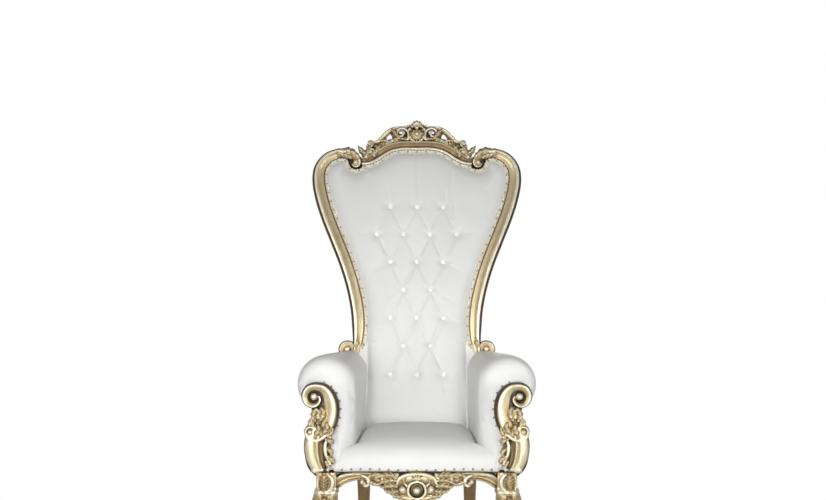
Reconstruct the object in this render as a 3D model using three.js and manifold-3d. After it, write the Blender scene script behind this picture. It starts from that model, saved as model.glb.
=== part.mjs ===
// A high-backed throne chair: a carved and gilded frame with tufted white upholstery.
// Millimetres, +Z up. The sitter faces -Y. The origin is on the floor, under the middle of the chair.
import * as THREE from "three";
import { mergeVertices } from "three/addons/utils/BufferGeometryUtils.js";
import Module from "manifold-3d";

const wasm = await Module();
wasm.setup();

// ---------------------------------------------------------------- driving dimensions
const FIT_GAP = 0.6; // clearance between neighbouring pieces
const EDGE_INSET = 1; // clearance round the panels of the back
const LEAN = THREE.MathUtils.degToRad(8.5); // the back leans away from the sitter
const CENTRING = 15; // brings the middle of the chair's depth over the origin
const BACK_PIVOT = new THREE.Vector3(0, 170, 550); // front plane of the back frame, at seat height
const FRAME_DEPTH = 40; // thickness of the back frame behind its front plane

const STILE_WIDTH = 53;
const EAR_CENTRE = { x: 308, z: 1025 }; // the stile turns round this point at its top
const EAR_RADIUS = 104; // of the stile's centreline
const EAR_EYE = { x: 256, z: 1083, radius: 10 }; // the volute that ends the stile
const BASE_VOLUTE = { x: 283, z: 300, radius: 37 }; // the volute at the stile's foot
const CREST_TOP = 1268; // up the leaning back, from the pivot
const CREST_BACK = 34; // depth of the crest behind the front plane
const SHELL_HEIGHT = 1240; // the foot of the shell, up the leaning back
const FLOWER_HEIGHT = 1202;

const CUSHION_CROWN = 36; // how far the inside back swells in front of its frame
const CUSHION_REAR = 18;
const PADDING_EDGE = -0.4; // depth of the padding at its edge
const PADDING_ROUNDING = 30; // the padding rounds over within about this distance of its edge
const BACK_FOOT = -98; // lower end of the upholstered back, down from the pivot
const LOWER_BACK_HALF = 241; // half width of the back behind the arms
const SWELL_BETWEEN_ARMS = 196; // half width of its padding between them
const ARM_LINE = 330; // below this the padding stays between the arms
const ARM_TOP_ON_BACK = 304; // the trim stops here, on the arms
const TUFT = { across: 109, rowPitch: 115.7, top: 890, depth: 22 };
const TUFT_ROWS = [3, 4, 3, 2, 3, 2, 3]; // buttons in each row, from the top
const BUTTON = { radius: 9, rise: 13, waist: 8 };
const TRIM_WIDTH = 14;

const RAIL_TOP = 447;
const RAIL_BOTTOM = 385;
const SEAT_FRONT = -358;
const SEAT_FRONT_HALF = 281; // half width of the seat in front of the arms
const SEAT_REAR_GAP = 40; // from the back's front plane to the cushion
const ARM_FRONT = -336;
const ARM_REAR_GAP = 3; // from the back's front plane to the arms
const ARM_INNER = { front: 229, rear: 206 }; // half widths of the arms, at their two ends
const ARM_OUTER = { front: 432, rear: 340 };
const ARM_PANEL = { front: 350, rear: 238 }; // of the outside panel below the roll
const ROLL_HEIGHT = { front: 756, rear: 745 }; // of the roll's centre
const ROLL_REACH = { front: 99, rear: 97 }; // above and below that centre
const POST_FRONT = -368; // front plane of the arm posts
const POST_BACK = ARM_FRONT - FIT_GAP;
const LEG_BLOCK = { x: 318, y: -340, half: 35, bottom: 376 };
const BACK_LEG_X = 216;
const BACK_RAIL = { half: 187, front: 168, rear: 196 };

const GOLD = { color: 0xc2a468, roughness: 0.34, metalness: 0.85 };
const LEATHER = { color: 0xe9e8e3, roughness: 0.48, metalness: 0 };
const CRYSTAL = { color: 0xf2f4f8, roughness: 0.08, metalness: 0.1 };
const BOARD = { color: 0x9a8262, roughness: 0.8, metalness: 0 };

// ---------------------------------------------------------------- solids
const lerp = THREE.MathUtils.lerp;
const range = (count) => Array.from({ length: count }, (_, i) => i);

// A closed solid from a geometry, turned so that its faces point out.
function solidOf(geometry) {
  const loose = geometry.index ? geometry.toNonIndexed() : geometry;
  const bare = new THREE.BufferGeometry().setAttribute("position", loose.getAttribute("position"));
  const merged = mergeVertices(bare, 1e-3);
  const vertProperties = merged.attributes.position.array;
  const triVerts = new Uint32Array(merged.index.array);
  const solid = new wasm.Manifold(new wasm.Mesh({ numProp: 3, vertProperties, triVerts }));
  if (solid.volume() > 0) return solid;
  const turned = triVerts.map((_, i) => triVerts[i - (i % 3) + [0, 2, 1][i % 3]]);
  return new wasm.Manifold(new wasm.Mesh({ numProp: 3, vertProperties, triVerts: turned }));
}

function geometryOf(solid) {
  const mesh = solid.getMesh();
  const geometry = new THREE.BufferGeometry();
  const positions = Float32Array.from(range(mesh.numVert * 3), (i) => {
    return mesh.vertProperties[Math.floor(i / 3) * mesh.numProp + (i % 3)];
  });
  geometry.setAttribute("position", new THREE.BufferAttribute(positions, 3));
  geometry.setIndex(new THREE.BufferAttribute(new Uint32Array(mesh.triVerts), 1));
  geometry.computeVertexNormals();
  return geometry;
}

const toChair = new THREE.Matrix4().makeRotationX(-LEAN).setPosition(BACK_PIVOT);
const inChair = (solid) => solid.transform(toChair.elements); // from the back's frame to the chair's
const join = (solids) => solids.reduce((a, b) => a.add(b));
const mirrored = (solid) => solid.mirror([1, 0, 0]);
const bothSides = (solid) => solid.add(mirrored(solid));

// Triangles that close one end of a loft, for a flat ring of any outline.
function capFaces(ring) {
  const normal = new THREE.Vector3();
  ring.forEach((point, i) => {
    normal.add(new THREE.Vector3().crossVectors(point, ring[(i + 1) % ring.length]));
  });
  const flat = ["x", "y", "z"].sort((a, b) => Math.abs(normal[a]) - Math.abs(normal[b])).slice(0, 2);
  const outline = ring.map((p) => new THREE.Vector2(p[flat[0]], p[flat[1]]));
  const turned = THREE.ShapeUtils.isClockWise(outline);
  const order = range(ring.length);
  if (turned) order.reverse();
  const faces = THREE.ShapeUtils.triangulateShape(order.map((i) => outline[i]), []);
  return { faces: faces.map((face) => face.map((i) => order[i])), turned };
}

// The closed skin through a row of rings, each with the same number of points.
function loft(rings) {
  const count = rings[0].length;
  const last = (rings.length - 1) * count;
  const index = [];
  for (const i of range(rings.length - 1)) {
    for (const j of range(count)) {
      const a = i * count + j;
      const b = i * count + ((j + 1) % count);
      index.push(a, b, b + count, a, b + count, a + count);
    }
  }
  for (const [ring, base, isEnd] of [[rings[0], 0, false], [rings.at(-1), last, true]]) {
    const { faces, turned } = capFaces(ring);
    for (const [a, b, c] of faces) {
      const alongRing = turned ? [c, b, a] : [a, b, c]; // turns the way the ring runs
      const corners = isEnd ? alongRing : alongRing.reverse();
      index.push(...corners.map((i) => base + i));
    }
  }
  const geometry = new THREE.BufferGeometry().setFromPoints(rings.flat());
  geometry.setIndex(index);
  return solidOf(geometry);
}

// Points and half widths along a smooth line in the XZ plane. Each stop is [x, z, width].
function traced(stops, steps) {
  const points = stops.map(([x, z, width]) => new THREE.Vector3(x, width, z));
  const curve = new THREE.CatmullRomCurve3(points, false, "centripetal");
  return range(steps + 1).map((i) => {
    const at = curve.getPoint(i / steps);
    const along = curve.getTangent(i / steps).setY(0).normalize();
    return { x: at.x, z: at.z, half: at.y / 2, across: { x: along.z, z: -along.x } };
  });
}

// A carved band swept along such a line. A section point is [share of the half width, depth]:
// the depth is a place on Y, and a third number moves it forward by that share of the half width.
function band(stops, steps, section) {
  const rings = traced(stops, steps).map(({ x, z, half, across }) =>
    section.map(([side, depth, rise = 0]) => {
      const offset = side * half;
      return new THREE.Vector3(x + across.x * offset, depth - rise * half, z + across.z * offset);
    }),
  );
  return loft(rings);
}

// A rounded front on a flat back, for scrolls.
const rounded = (front, back, rise = 0.75) => [
  [-1, back],
  [-1, front],
  [0, front, rise],
  [1, front],
  [1, back],
];

// A leaf whose sides fall away from its midrib.
const leaf = (stops, front, back, steps = 2) =>
  band(stops, steps, [[-1, back], [0, front, 0.7], [1, back]]);

const bead = (x, y, z, radius) =>
  solidOf(new THREE.OctahedronGeometry(radius, 1)).translate([x, y, z]);

// A turned disc that faces the front: the profile is [radius, depth] pairs from the axis out.
function boss(x, z, profile, back, segments = 12) {
  const closed = [...profile, [profile.at(-1)[0], back], [0, back]];
  const points = closed.map(([radius, depth]) => new THREE.Vector2(radius, depth));
  return solidOf(new THREE.LatheGeometry(points, segments)).translate([x, 0, z]);
}

// A flat plate between two depths, cut to an outline of [x, z] points.
function plate(outline, front, back) {
  const ring = (y) => outline.map(([x, z]) => new THREE.Vector3(x, y, z));
  return loft([ring(front), ring(back)]);
}

const box = (from, to) => {
  const size = from.map((low, i) => to[i] - low);
  const centre = from.map((low, i) => (to[i] + low) / 2);
  return solidOf(new THREE.BoxGeometry(...size)).translate(centre);
};

// ---------------------------------------------------------------- the back frame
// In the back's own frame: X across, Y into the back from its front plane, Z up along it.
const earPoint = (degrees, radius = EAR_RADIUS) => {
  const angle = THREE.MathUtils.degToRad(degrees);
  return [EAR_CENTRE.x + radius * Math.cos(angle), EAR_CENTRE.z + radius * Math.sin(angle)];
};

const STILE_LINE = [
  [246, 303, 14],
  [242, 335, 40],
  [240, 390, 50],
  [245, 462, STILE_WIDTH],
  [262, 550, STILE_WIDTH],
  [292, 650, STILE_WIDTH],
  [334, 757, STILE_WIDTH],
  [371, 850, STILE_WIDTH],
  [398, 935, STILE_WIDTH],
  [...earPoint(-8), STILE_WIDTH],
  [...earPoint(22), 51],
  [...earPoint(52), 48],
  [...earPoint(82), 44],
];
const STILE_STEPS = 15;

const EAR_SCROLL = [
  [...earPoint(80), 44],
  [279, 1122, 40],
  [252, 1106, 30],
  [240, 1084, 19],
  [248, 1068, 14],
  [263, 1068, 12],
  [271, 1079, 10],
];

// From the inner edge to the outer one: a cove, a ridge and the bevel at the edge.
const STILE_SECTION = [
  [-1, FRAME_DEPTH],
  [-1, -2],
  [-0.8, -5],
  [-0.3, -7],
  [0.25, -15],
  [0.6, -15],
  [1, 4],
  [1, FRAME_DEPTH],
];

// The ear fills this outline. The crest stops at its edge, and the ear keeps the clearance from it.
const EAR_JOINT = [[290, 1165], [284, 1146], [250, 1130], [231, 1112], [228, 1050], [420, 1050], [420, 1165]];

function backStile() {
  const shaft = band(STILE_LINE, STILE_STEPS, STILE_SECTION.map(([side, depth]) => [-side, depth]));
  const scroll = band(EAR_SCROLL, 7, rounded(-8, 30));
  const eye = boss(EAR_EYE.x, EAR_EYE.z, [[0, -20], [EAR_EYE.radius, -12], [25, -3]], 30, 8);
  const ear = join([scroll, eye]).intersect(plate(EAR_JOINT, -60, 60).translate([FIT_GAP, 0, -FIT_GAP]));
  const { x, z, radius } = BASE_VOLUTE;
  const dish = [[0, -14], [10, -4], [23, -2], [29, -12], [radius, -8]];
  return join([shaft, ear, boss(x, z, dish, 34)]);
}

// The lower moulding of the crest, from its end by the ear to the middle.
const ARCH_LINE = [
  [232, 1090, 30],
  [206, 1094, 36],
  [172, 1110, 40],
  [139, 1132, 39],
  [106, 1148, 37],
  [60, 1157, 37],
  [0, 1157, 37],
];
const ARCH_STEPS = 7;

// The inner edge of the frame on one side, from the middle of the crest down to the back's foot.
function openingHalf() {
  const edgeOf = (line, steps, side) =>
    traced(line, steps).map(({ x, z, half, across }) => {
      return [x + side * across.x * half, z + side * across.z * half];
    });
  const arch = edgeOf(ARCH_LINE, ARCH_STEPS, -1).reverse();
  const stile = edgeOf(STILE_LINE, STILE_STEPS, -1).reverse();
  const ear = [[232, 1060], [256, 1055], [277, 1062], [291, 1090]];
  const side = stile.filter(([, z], i) => z > 320 && i > 0);
  const foot = [[234, 309], [LOWER_BACK_HALF, 296], [LOWER_BACK_HALF, BACK_FOOT]];
  return [...arch.slice(0, -1), ...ear, ...side, ...foot];
}

// The whole opening of the frame, drawn in from its edge by an inset.
function openingOutline(inset) {
  const half = openingHalf();
  const whole = [...half, ...half.slice(1).reverse().map(([x, z]) => [-x, z])];
  const count = whole.length;
  return whole.map(([x, z], i) => {
    const before = whole[(i + count - 1) % count];
    const after = whole[(i + 1) % count];
    const along = new THREE.Vector2(after[0] - before[0], after[1] - before[1]).normalize();
    return [x + along.y * inset, z - along.x * inset];
  });
}

// The right half of the crest's carving, up to the middle.
function crestHalf() {
  const archSection = [[-1, CREST_BACK], [-1, -3], [-0.6, -7], [0, -3], [0.8, -12], [1, CREST_BACK]];
  const arch = band(ARCH_LINE, ARCH_STEPS, archSection);
  const sweepLine = [
    [184, 1172, 15],
    [166, 1174, 17],
    [148, 1191, 18],
    [124, 1216, 20],
    [98, 1233, 18],
    [68, 1238, 15],
    [36, 1238, 14],
    [12, 1240, 14],
  ];
  const sweep = band(sweepLine, 6, rounded(-8, 24));
  const curlLine = [
    [36, 1180, 12],
    [34, 1205, 13],
    [44, 1229, 12],
    [68, 1233, 11],
    [82, 1216, 11],
    [66, 1200, 11],
  ];
  const curl = band(curlLine, 4, rounded(-10, 22));
  const shoulder = boss(197, 1167, [[0, -16], [11, -7], [20, -9]], 26, 8);
  const leaves = [
    [[74, 1184, 12], [89, 1207, 18], [104, 1228, 5]],
    [[205, 1100, 14], [206, 1130, 26], [197, 1160, 14]],
    [[200, 1112, 12], [224, 1132, 26], [246, 1152, 6]],
  ].map((stops) => leaf(stops, -9, 20));
  const panelOutline = [
    [0, 1166],
    [0, 1230],
    [70, 1236],
    [100, 1230],
    [126, 1209],
    [148, 1186],
    [186, 1170],
    [204, 1110],
    [142, 1141],
  ];
  const panel = plate(panelOutline, -1, 21);
  const pierced = [
    [[103, 1191], [130, 1184], [113, 1213]],
    [[50, 1212], [72, 1210], [73, 1225], [55, 1229]],
  ].map((outline) => plate(outline, -60, 60));
  const pearl = bead(103, -7, 1176, 8);
  return join([arch, sweep, curl, shoulder, panel, ...leaves, pearl]).subtract(join(pierced));
}

// The solids of the scallop shell in the middle of the crest, and of the flower with three hanging
// leaves below it.
function crestCentre() {
  const shellReach = CREST_TOP - SHELL_HEIGHT - 1;
  const ray = (z, degrees, reach, front) => {
    const angle = THREE.MathUtils.degToRad(degrees);
    const at = (distance) => [Math.sin(angle) * distance, z + Math.cos(angle) * distance];
    return leaf([[...at(2), 6], [...at(reach * 0.55), 11], [...at(reach), 6]], front, 20);
  };
  const shell = range(5).map((i) => ray(SHELL_HEIGHT, -68 + i * 34, shellReach, -16));
  const pendant = range(3).map((i) => ray(FLOWER_HEIGHT, 140 + i * 40, 34, -14));
  const domeProfile = [[0, -26], [13, -20], [21, -10]];
  const domes = [SHELL_HEIGHT, FLOWER_HEIGHT].map((z) => boss(0, z, domeProfile, 24, 8));
  return [...shell, ...pendant, ...domes];
}

function crestRail() {
  const ears = bothSides(plate(EAR_JOINT, -60, 60));
  return join([bothSides(crestHalf()), ...crestCentre()]).subtract(ears);
}

// ---------------------------------------------------------------- the upholstered back
function outlineDistance(outline, x, z) {
  const point = new THREE.Vector3(x, 0, z);
  const distances = outline.map(([ax, az], i) => {
    const [bx, bz] = outline[(i + 1) % outline.length];
    const side = new THREE.Line3(new THREE.Vector3(ax, 0, az), new THREE.Vector3(bx, 0, bz));
    return side.closestPointToPoint(point, true, new THREE.Vector3()).distanceTo(point);
  });
  return Math.min(...distances);
}

const buttonPlaces = TUFT_ROWS.flatMap((count, row) =>
  range(count).map((i) => ({
    x: (i - (count - 1) / 2) * TUFT.across,
    z: TUFT.top - row * TUFT.rowPitch,
  })),
);

// How far the padding stands in front of the frame's plane at a point.
function crownAt(outline, x, z) {
  const besideArm = z < ARM_LINE ? SWELL_BETWEEN_ARMS - Math.abs(x) : Infinity;
  const fromEdge = Math.max(0, Math.min(outlineDistance(outline, x, z), besideArm));
  const swell = CUSHION_CROWN * (1 - Math.exp(-fromEdge / PADDING_ROUNDING));
  const isButton = buttonPlaces.some((button) => Math.hypot(button.x - x, button.z - z) < 1);
  return isButton ? swell - TUFT.depth : swell;
}

function insideBack() {
  const edge = openingOutline(EDGE_INSET);
  const inner = openingOutline(TRIM_WIDTH + FIT_GAP);
  const halfPitch = TUFT.across / 2;
  const rightColumns = [halfPitch, halfPitch * 2, halfPitch * 3, SWELL_BETWEEN_ARMS, 270, 400];
  const columns = [...rightColumns.map((x) => -x).reverse(), 0, ...rightColumns];
  const rows = range(24).map((i) => TUFT.top + (5 - i) * (TUFT.rowPitch / 2));
  const rings = rows.map((z) => {
    const padding = columns.map((x) => new THREE.Vector3(x, PADDING_EDGE - crownAt(inner, x, z), z));
    const rear = [columns.at(-1), columns[0]].map((x) => new THREE.Vector3(x, CUSHION_REAR, z));
    return [...padding, ...rear];
  });
  const padded = loft(rings).intersect(plate(inner, -80, 80));
  return padded.add(plate(edge, 0, CUSHION_REAR));
}

// The strip that covers the edge of the leather, down to the arms on both sides.
function backTrim() {
  const half = openingHalf().length;
  const outer = openingOutline(EDGE_INSET);
  const inner = openingOutline(TRIM_WIDTH);
  const upper = range(outer.length).map((i) => (i + half) % outer.length);
  const rings = upper
    .filter((i) => outer[i][1] > ARM_TOP_ON_BACK)
    .map((i) => {
      const corners = [[outer[i], -FIT_GAP], [outer[i], -6], [inner[i], -6], [inner[i], -FIT_GAP]];
      return corners.map(([[x, z], depth]) => new THREE.Vector3(x, depth, z));
    });
  return loft(rings);
}

const outsideBack = () => plate(openingOutline(EDGE_INSET), CUSHION_REAR + FIT_GAP, FRAME_DEPTH - 6);

// A faceted crystal whose pointed foot sits in its tuft.
function crystalButton() {
  const profile = [[0, 0], [BUTTON.radius, -BUTTON.waist], [0, -BUTTON.rise]];
  const points = profile.map(([radius, depth]) => new THREE.Vector2(radius, depth));
  return solidOf(new THREE.LatheGeometry(points, 5));
}

// ---------------------------------------------------------------- legs and rails
const CORNER_REACH = 1.08; // puts the flats of the octagon at the limb's half widths
const OCTAGON = range(8).map((i) => {
  const angle = ((i + 0.5) / 8) * Math.PI * 2;
  return [Math.cos(angle) * CORNER_REACH, Math.sin(angle) * CORNER_REACH];
});

// A limb through level rings: each stop is [z, x, y, half width, half depth].
function limb(stops, steps) {
  const place = new THREE.CatmullRomCurve3(stops.map(([z, x, y]) => new THREE.Vector3(x, y, z)));
  const size = new THREE.CatmullRomCurve3(stops.map(([z, , , w, d]) => new THREE.Vector3(w, d, z)));
  const rings = range(steps + 1).map((i) => {
    const at = place.getPoint(i / steps);
    const half = size.getPoint(i / steps);
    return OCTAGON.map(([u, v]) => new THREE.Vector3(at.x + u * half.x, at.y + v * half.y, at.z));
  });
  return loft(rings);
}

function frontLeg() {
  const { x, y, half, bottom } = LEG_BLOCK;
  const shaft = limb(
    [
      [0, 332, -366, 25, 28],
      [14, 332, -368, 31, 34],
      [40, 329, -362, 27, 31],
      [80, 320, -350, 20, 23],
      [140, 313, -340, 22, 24],
      [210, 314, -341, 31, 32],
      [280, 321, -348, 42, 42],
      [335, 325, -352, 47, 46],
      [bottom - 4, 322, -346, 42, 41],
    ],
    8,
  );
  const block = box([x - half, y - half, bottom - 6], [x + half, y + half, RAIL_TOP + 1]);
  const margin = 14; // of the block's face round its recess
  const recess = box(
    [x - half + margin, y - half - 5, bottom + margin],
    [x + half - margin, y - half + 4, RAIL_TOP - margin],
  );
  const collar = [-20, 20].map((dx) => bead(x + dx, y - half + 3, bottom + 2, 12));
  const sideBead = bead(x + half - 2, y - 6, bottom + 2, 13);
  const kneeLeaves = [[0, 0, 150], [-22, 12, 118], [22, 12, 118]].map(([dx, drop, length]) => {
    const top = bottom - 12 - drop;
    const stops = [
      [x + 6 + dx * 0.5, top, 16],
      [x + 6 + dx, top - length * 0.4, 26],
      [x + 2 + dx * 0.6, top - length, 6],
    ];
    return leaf(stops, y - half - 22, y - 10);
  });
  const toe = boss(332, 24, [[0, -410], [12, -408], [20, -398]], -360, 8);
  return join([shaft, block.subtract(recess), ...collar, sideBead, ...kneeLeaves, toe]);
}

function backLeg() {
  return limb(
    [
      [0, BACK_LEG_X + 8, 336, 19, 19],
      [110, BACK_LEG_X + 5, 302, 21, 21],
      [230, BACK_LEG_X + 2, 256, 24, 23],
      [340, BACK_LEG_X, 210, 27, 24],
      [RAIL_TOP + 1, BACK_LEG_X, 178, 28, 24],
    ],
    8,
  );
}

// Top and bottom edge of the front rail at a distance from the middle, as [x, top, bottom].
const FRONT_RAIL_EDGES = [
  [0, 446, 330],
  [58, 438, 346],
  [92, 440, 366],
  [128, 444, 392],
  [200, 447, 417],
  [232, 446, 412],
  [282.4, 432, 380],
];

function frontRail() {
  const FRONT = -352;
  const REAR = -318;
  const leftEdges = FRONT_RAIL_EDGES.slice(1).reverse().map(([x, ...heights]) => [-x, ...heights]);
  const edges = [...leftEdges, ...FRONT_RAIL_EDGES];
  const body = loft(
    edges.map(([x, top, bottom]) => {
      const height = top - bottom;
      const ridge = FRONT - 6;
      const profile = [[REAR, 1], [FRONT + 2, 1], [ridge, 0.8], [FRONT - 2, 0.4], [ridge, 0], [REAR, 0]];
      return profile.map(([y, share]) => new THREE.Vector3(x, y, bottom + share * height));
    }),
  );
  const arch = band([[64, 412, 12], [48, 430, 14], [0, 439, 14]], 4, rounded(-362, -330));
  const ringLine = [[0, 414, 9], [24, 402, 9], [30, 383, 9], [24, 364, 9], [0, 352, 9]];
  const ring = band(ringLine, 4, rounded(-366, -330));
  const ball = bead(48, -364, 388, 13);
  const leaves = [
    [[70, 426, 10], [104, 428, 24], [150, 422, 6]],
    [[62, 386, 12], [88, 386, 28], [124, 396, 6]],
    [[26, 346, 8], [46, 346, 16], [74, 360, 6]],
  ].map((stops) => leaf(stops, -360, -330));
  const drop = bead(190, -356, 412, 10);
  const half = join([arch, ring, ball, ...leaves, drop]);
  const cabochon = boss(0, 383, [[0, -380], [11, -376], [17, -362]], -330, 8);
  const tip = leaf([[0, 352, 18], [0, 336, 26], [0, 318, 6]], -356, -330);
  return join([body, bothSides(half), cabochon, tip]);
}

function sideRail() {
  const stations = [[-304, 331], [-180, 326], [-20, 300], [110, 268], [150, 254]];
  return loft(
    stations.map(([y, x], i) => {
      const sag = [0, 14, 18, 12, 0][i];
      const low = RAIL_BOTTOM + sag * 0.6;
      const profile = [
        [-14, RAIL_TOP],
        [11, RAIL_TOP],
        [18, RAIL_TOP - 12],
        [13, (RAIL_TOP + low) / 2],
        [18, low + 9],
        [12, low],
        [-14, low],
      ];
      return profile.map(([dx, z]) => new THREE.Vector3(x + dx, y, z));
    }),
  );
}

function backRail() {
  const { half, front, rear } = BACK_RAIL;
  return box([-half, front, RAIL_BOTTOM], [half, rear, RAIL_TOP]);
}

function seatBoard() {
  const half = [
    [280, -316.5],
    [280, -300],
    [306, -180],
    [280, -20],
    [248, 110],
    [232, 150],
    [186, 150],
    [186, 166.5],
  ];
  const outline = [...half, ...half.map(([x, y]) => [-x, y]).reverse()];
  const ring = (z) => outline.map(([x, y]) => new THREE.Vector3(x, y, z));
  return loft([ring(RAIL_TOP - 18), ring(RAIL_TOP)]);
}

// ---------------------------------------------------------------- arms
function armPost() {
  const slab = [[-1, POST_BACK], [-1, POST_FRONT + 10], [1, POST_FRONT + 10], [1, POST_BACK]];
  const coreLine = [
    [330, 450, 64],
    [350, 480, 76],
    [356, 530, 80],
    [348, 580, 84],
    [332, 625, 84],
    [326, 670, 92],
    [336, 712, 70],
  ];
  const core = band(coreLine, 5, slab);
  const carved = rounded(POST_FRONT, POST_BACK, 0.6);
  const shaftLine = [
    [322, 590, 48],
    [305, 622, 52],
    [299, 665, 50],
    [303, 702, 46],
    [315, 729, 38],
    [335, 745, 30],
    [358, 749, 26],
  ];
  const shaft = band(shaftLine, 6, carved);
  const spiralLine = [
    [340, 747, 28],
    [360, 749, 26],
    [381, 738, 23],
    [391, 715, 20],
    [385, 692, 18],
    [368, 681, 16],
    [350, 685, 14],
    [341, 700, 12],
  ];
  const spiral = band(spiralLine, 8, carved);
  const eyeProfile = [[0, POST_FRONT - 14], [13, POST_FRONT - 4], [36, POST_FRONT + 8]];
  const eye = boss(360, 714, eyeProfile, POST_BACK, 8);
  const lowerLine = [[344, 604, 62], [362, 566, 68], [363, 520, 68], [354, 480, 60], [338, 452, 46]];
  const lower = band(lowerLine, 5, carved);
  const innerLine = [[300, 566, 10], [312, 560, 13], [322, 538, 15], [318, 508, 14], [304, 486, 10]];
  const inner = band(innerLine, 4, carved);
  const cuffLine = [[390, 582, 14], [368, 570, 19], [338, 572, 18], [308, 586, 12]];
  const cuff = band(cuffLine, 3, rounded(POST_FRONT - 10, POST_BACK));
  const leaves = [
    [[340, 584, 16], [338, 606, 22], [330, 634, 6]],
    [[318, 584, 12], [312, 606, 20], [300, 630, 6]],
    [[362, 590, 14], [362, 628, 22], [352, 668, 8]],
  ].map((stops) => leaf(stops, POST_FRONT - 8, POST_BACK));
  const curlProfile = [[0, POST_FRONT - 18], [9, POST_FRONT - 12], [19, POST_FRONT - 4]];
  const curl = boss(374, 594, curlProfile, POST_BACK, 8);
  const foot = bead(360, POST_FRONT + 4, 460, 14);
  const whole = join([core, shaft, spiral, eye, lower, inner, cuff, ...leaves, curl, foot]);
  const overLeg = box([200, -440, 400], [460, -280, RAIL_TOP + 1 + FIT_GAP]);
  return whole.subtract(overLeg); // the post stands flat on the leg's block
}

// Places on the leaning plane of the back's front, at a height above the floor.
const leaningPlane = (z, depth) => {
  return BACK_PIVOT.y + (z - BACK_PIVOT.z) * Math.tan(LEAN) + depth / Math.cos(LEAN);
};
const alongArm = ({ front, rear }, t) => lerp(front, rear, t);

// One ring of the arm: inner face, roll and outside panel. t runs from the front to the rear,
// and the inset draws the ring in, to round the arm's front edge.
function armRing([t, inset]) {
  const inner = alongArm(ARM_INNER, t) + inset;
  const outer = alongArm(ARM_OUTER, t ** 1.5) - inset;
  const panel = alongArm(ARM_PANEL, t) - inset;
  const centre = { x: (inner + outer) / 2, z: alongArm(ROLL_HEIGHT, t) };
  const reach = { x: (outer - inner) / 2, z: alongArm(ROLL_REACH, t) - inset };
  const roll = range(10).map((i) => {
    const angle = THREE.MathUtils.degToRad(180 - i * 26.5);
    return [centre.x + reach.x * Math.cos(angle), centre.z + reach.z * Math.sin(angle)];
  });
  const base = RAIL_TOP + 1 + FIT_GAP;
  const outline = [[inner + 3, base], [inner, 560], ...roll, [panel, 600], [panel - 4, base]];
  return outline.map(([x, z]) => {
    const y = lerp(ARM_FRONT, leaningPlane(z, -ARM_REAR_GAP), t);
    return new THREE.Vector3(x, y, z);
  });
}

function armPad() {
  const stations = [[0, 26], [0.012, 10], [0.04, 2], [0.1, 0], [0.4, 0], [0.7, 0], [1, 0]];
  const body = loft(stations.map(armRing));
  const { x, z, radius } = BASE_VOLUTE;
  const seatOfVolute = boss(x, z, [[0, -18], [radius + 1, -18]], 10);
  return body.subtract(inChair(seatOfVolute));
}

// ---------------------------------------------------------------- seat
function seatCushion() {
  const along = (y) => (y - ARM_FRONT) / (leaningPlane(500, -ARM_REAR_GAP) - ARM_FRONT);
  const betweenArms = (y) => alongArm(ARM_INNER, along(y)) - 1.5;
  const base = RAIL_TOP + FIT_GAP;
  // [depth, half width, height of the crown] from the front to the rear
  const stations = [
    [SEAT_FRONT, SEAT_FRONT_HALF - 2, 26],
    [SEAT_FRONT + 5, SEAT_FRONT_HALF, 50],
    [ARM_FRONT - FIT_GAP, SEAT_FRONT_HALF, 72],
    [ARM_FRONT + 0.2, betweenArms(ARM_FRONT), 73],
    [-290, betweenArms(-290), 92],
    [-210, betweenArms(-210), 105],
    [-110, betweenArms(-110), 112],
    [0, betweenArms(0), 113],
    [90, betweenArms(90), 106],
  ];
  const rings = stations.map(([y, half, rise], i) => {
    const isLast = i === stations.length - 1;
    const top = range(11).map((k) => {
      const share = 1 - k / 5;
      const crown = rise * (1 - 0.16 * share ** 2) * (1 - 0.3 * share ** 10); // sides round over
      return [share * half, base + crown];
    });
    const outline = [...top, [-half, base], [half, base]];
    return outline.map(([x, z]) => {
      return new THREE.Vector3(x, isLast ? leaningPlane(z, -SEAT_REAR_GAP) : y, z);
    });
  });
  return loft(rings);
}

// ---------------------------------------------------------------- the chair
const chair = new THREE.Group();
chair.position.y = CENTRING;
const back = new THREE.Group();
back.position.copy(BACK_PIVOT);
back.rotation.x = -LEAN;
chair.add(back);

function addPiece(name, solid, look, parent = chair) {
  const mesh = new THREE.Mesh(geometryOf(solid), new THREE.MeshStandardMaterial(look));
  mesh.name = name;
  parent.add(mesh);
  return mesh;
}

// The piece on the +X side, and its mirror image on the other.
function addPair(name, solid, look, parent = chair) {
  addPiece(`${name}_right`, solid, look, parent);
  addPiece(`${name}_left`, mirrored(solid), look, parent);
}

addPiece("crest_rail", crestRail(), GOLD, back);
addPair("back_stile", backStile(), GOLD, back);
addPiece("inside_back", insideBack(), LEATHER, back);
addPiece("outside_back", outsideBack(), LEATHER, back);
addPiece("back_trim", backTrim(), LEATHER, back);
const paddedOutline = openingOutline(TRIM_WIDTH + FIT_GAP);
buttonPlaces.forEach(({ x, z }, i) => {
  const name = `crystal_button_${String(i + 1).padStart(2, "0")}`;
  const button = addPiece(name, crystalButton(), CRYSTAL, back);
  button.position.set(x, PADDING_EDGE - crownAt(paddedOutline, x, z) - FIT_GAP, z);
});
addPair("arm_post", armPost(), GOLD);
addPair("arm_pad", armPad(), LEATHER);
addPair("front_leg", frontLeg(), GOLD);
addPair("back_leg", backLeg(), GOLD);
addPair("side_rail", sideRail(), GOLD);
addPiece("front_rail", frontRail(), GOLD);
addPiece("back_rail", backRail(), GOLD);
addPiece("seat_board", seatBoard(), BOARD);
addPiece("seat_cushion", seatCushion(), LEATHER);

export default chair;
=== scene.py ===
"""A high-backed throne chair: carved and gilded frame, tufted white leatherette, crystal buttons.

Shapes are drawn in millimetres. Most of the carving is drawn flat, as lines in the plane of the
chair's front or of its leaning back, and given its relief towards the sitter, who faces -Y.
"""
import math

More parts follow.
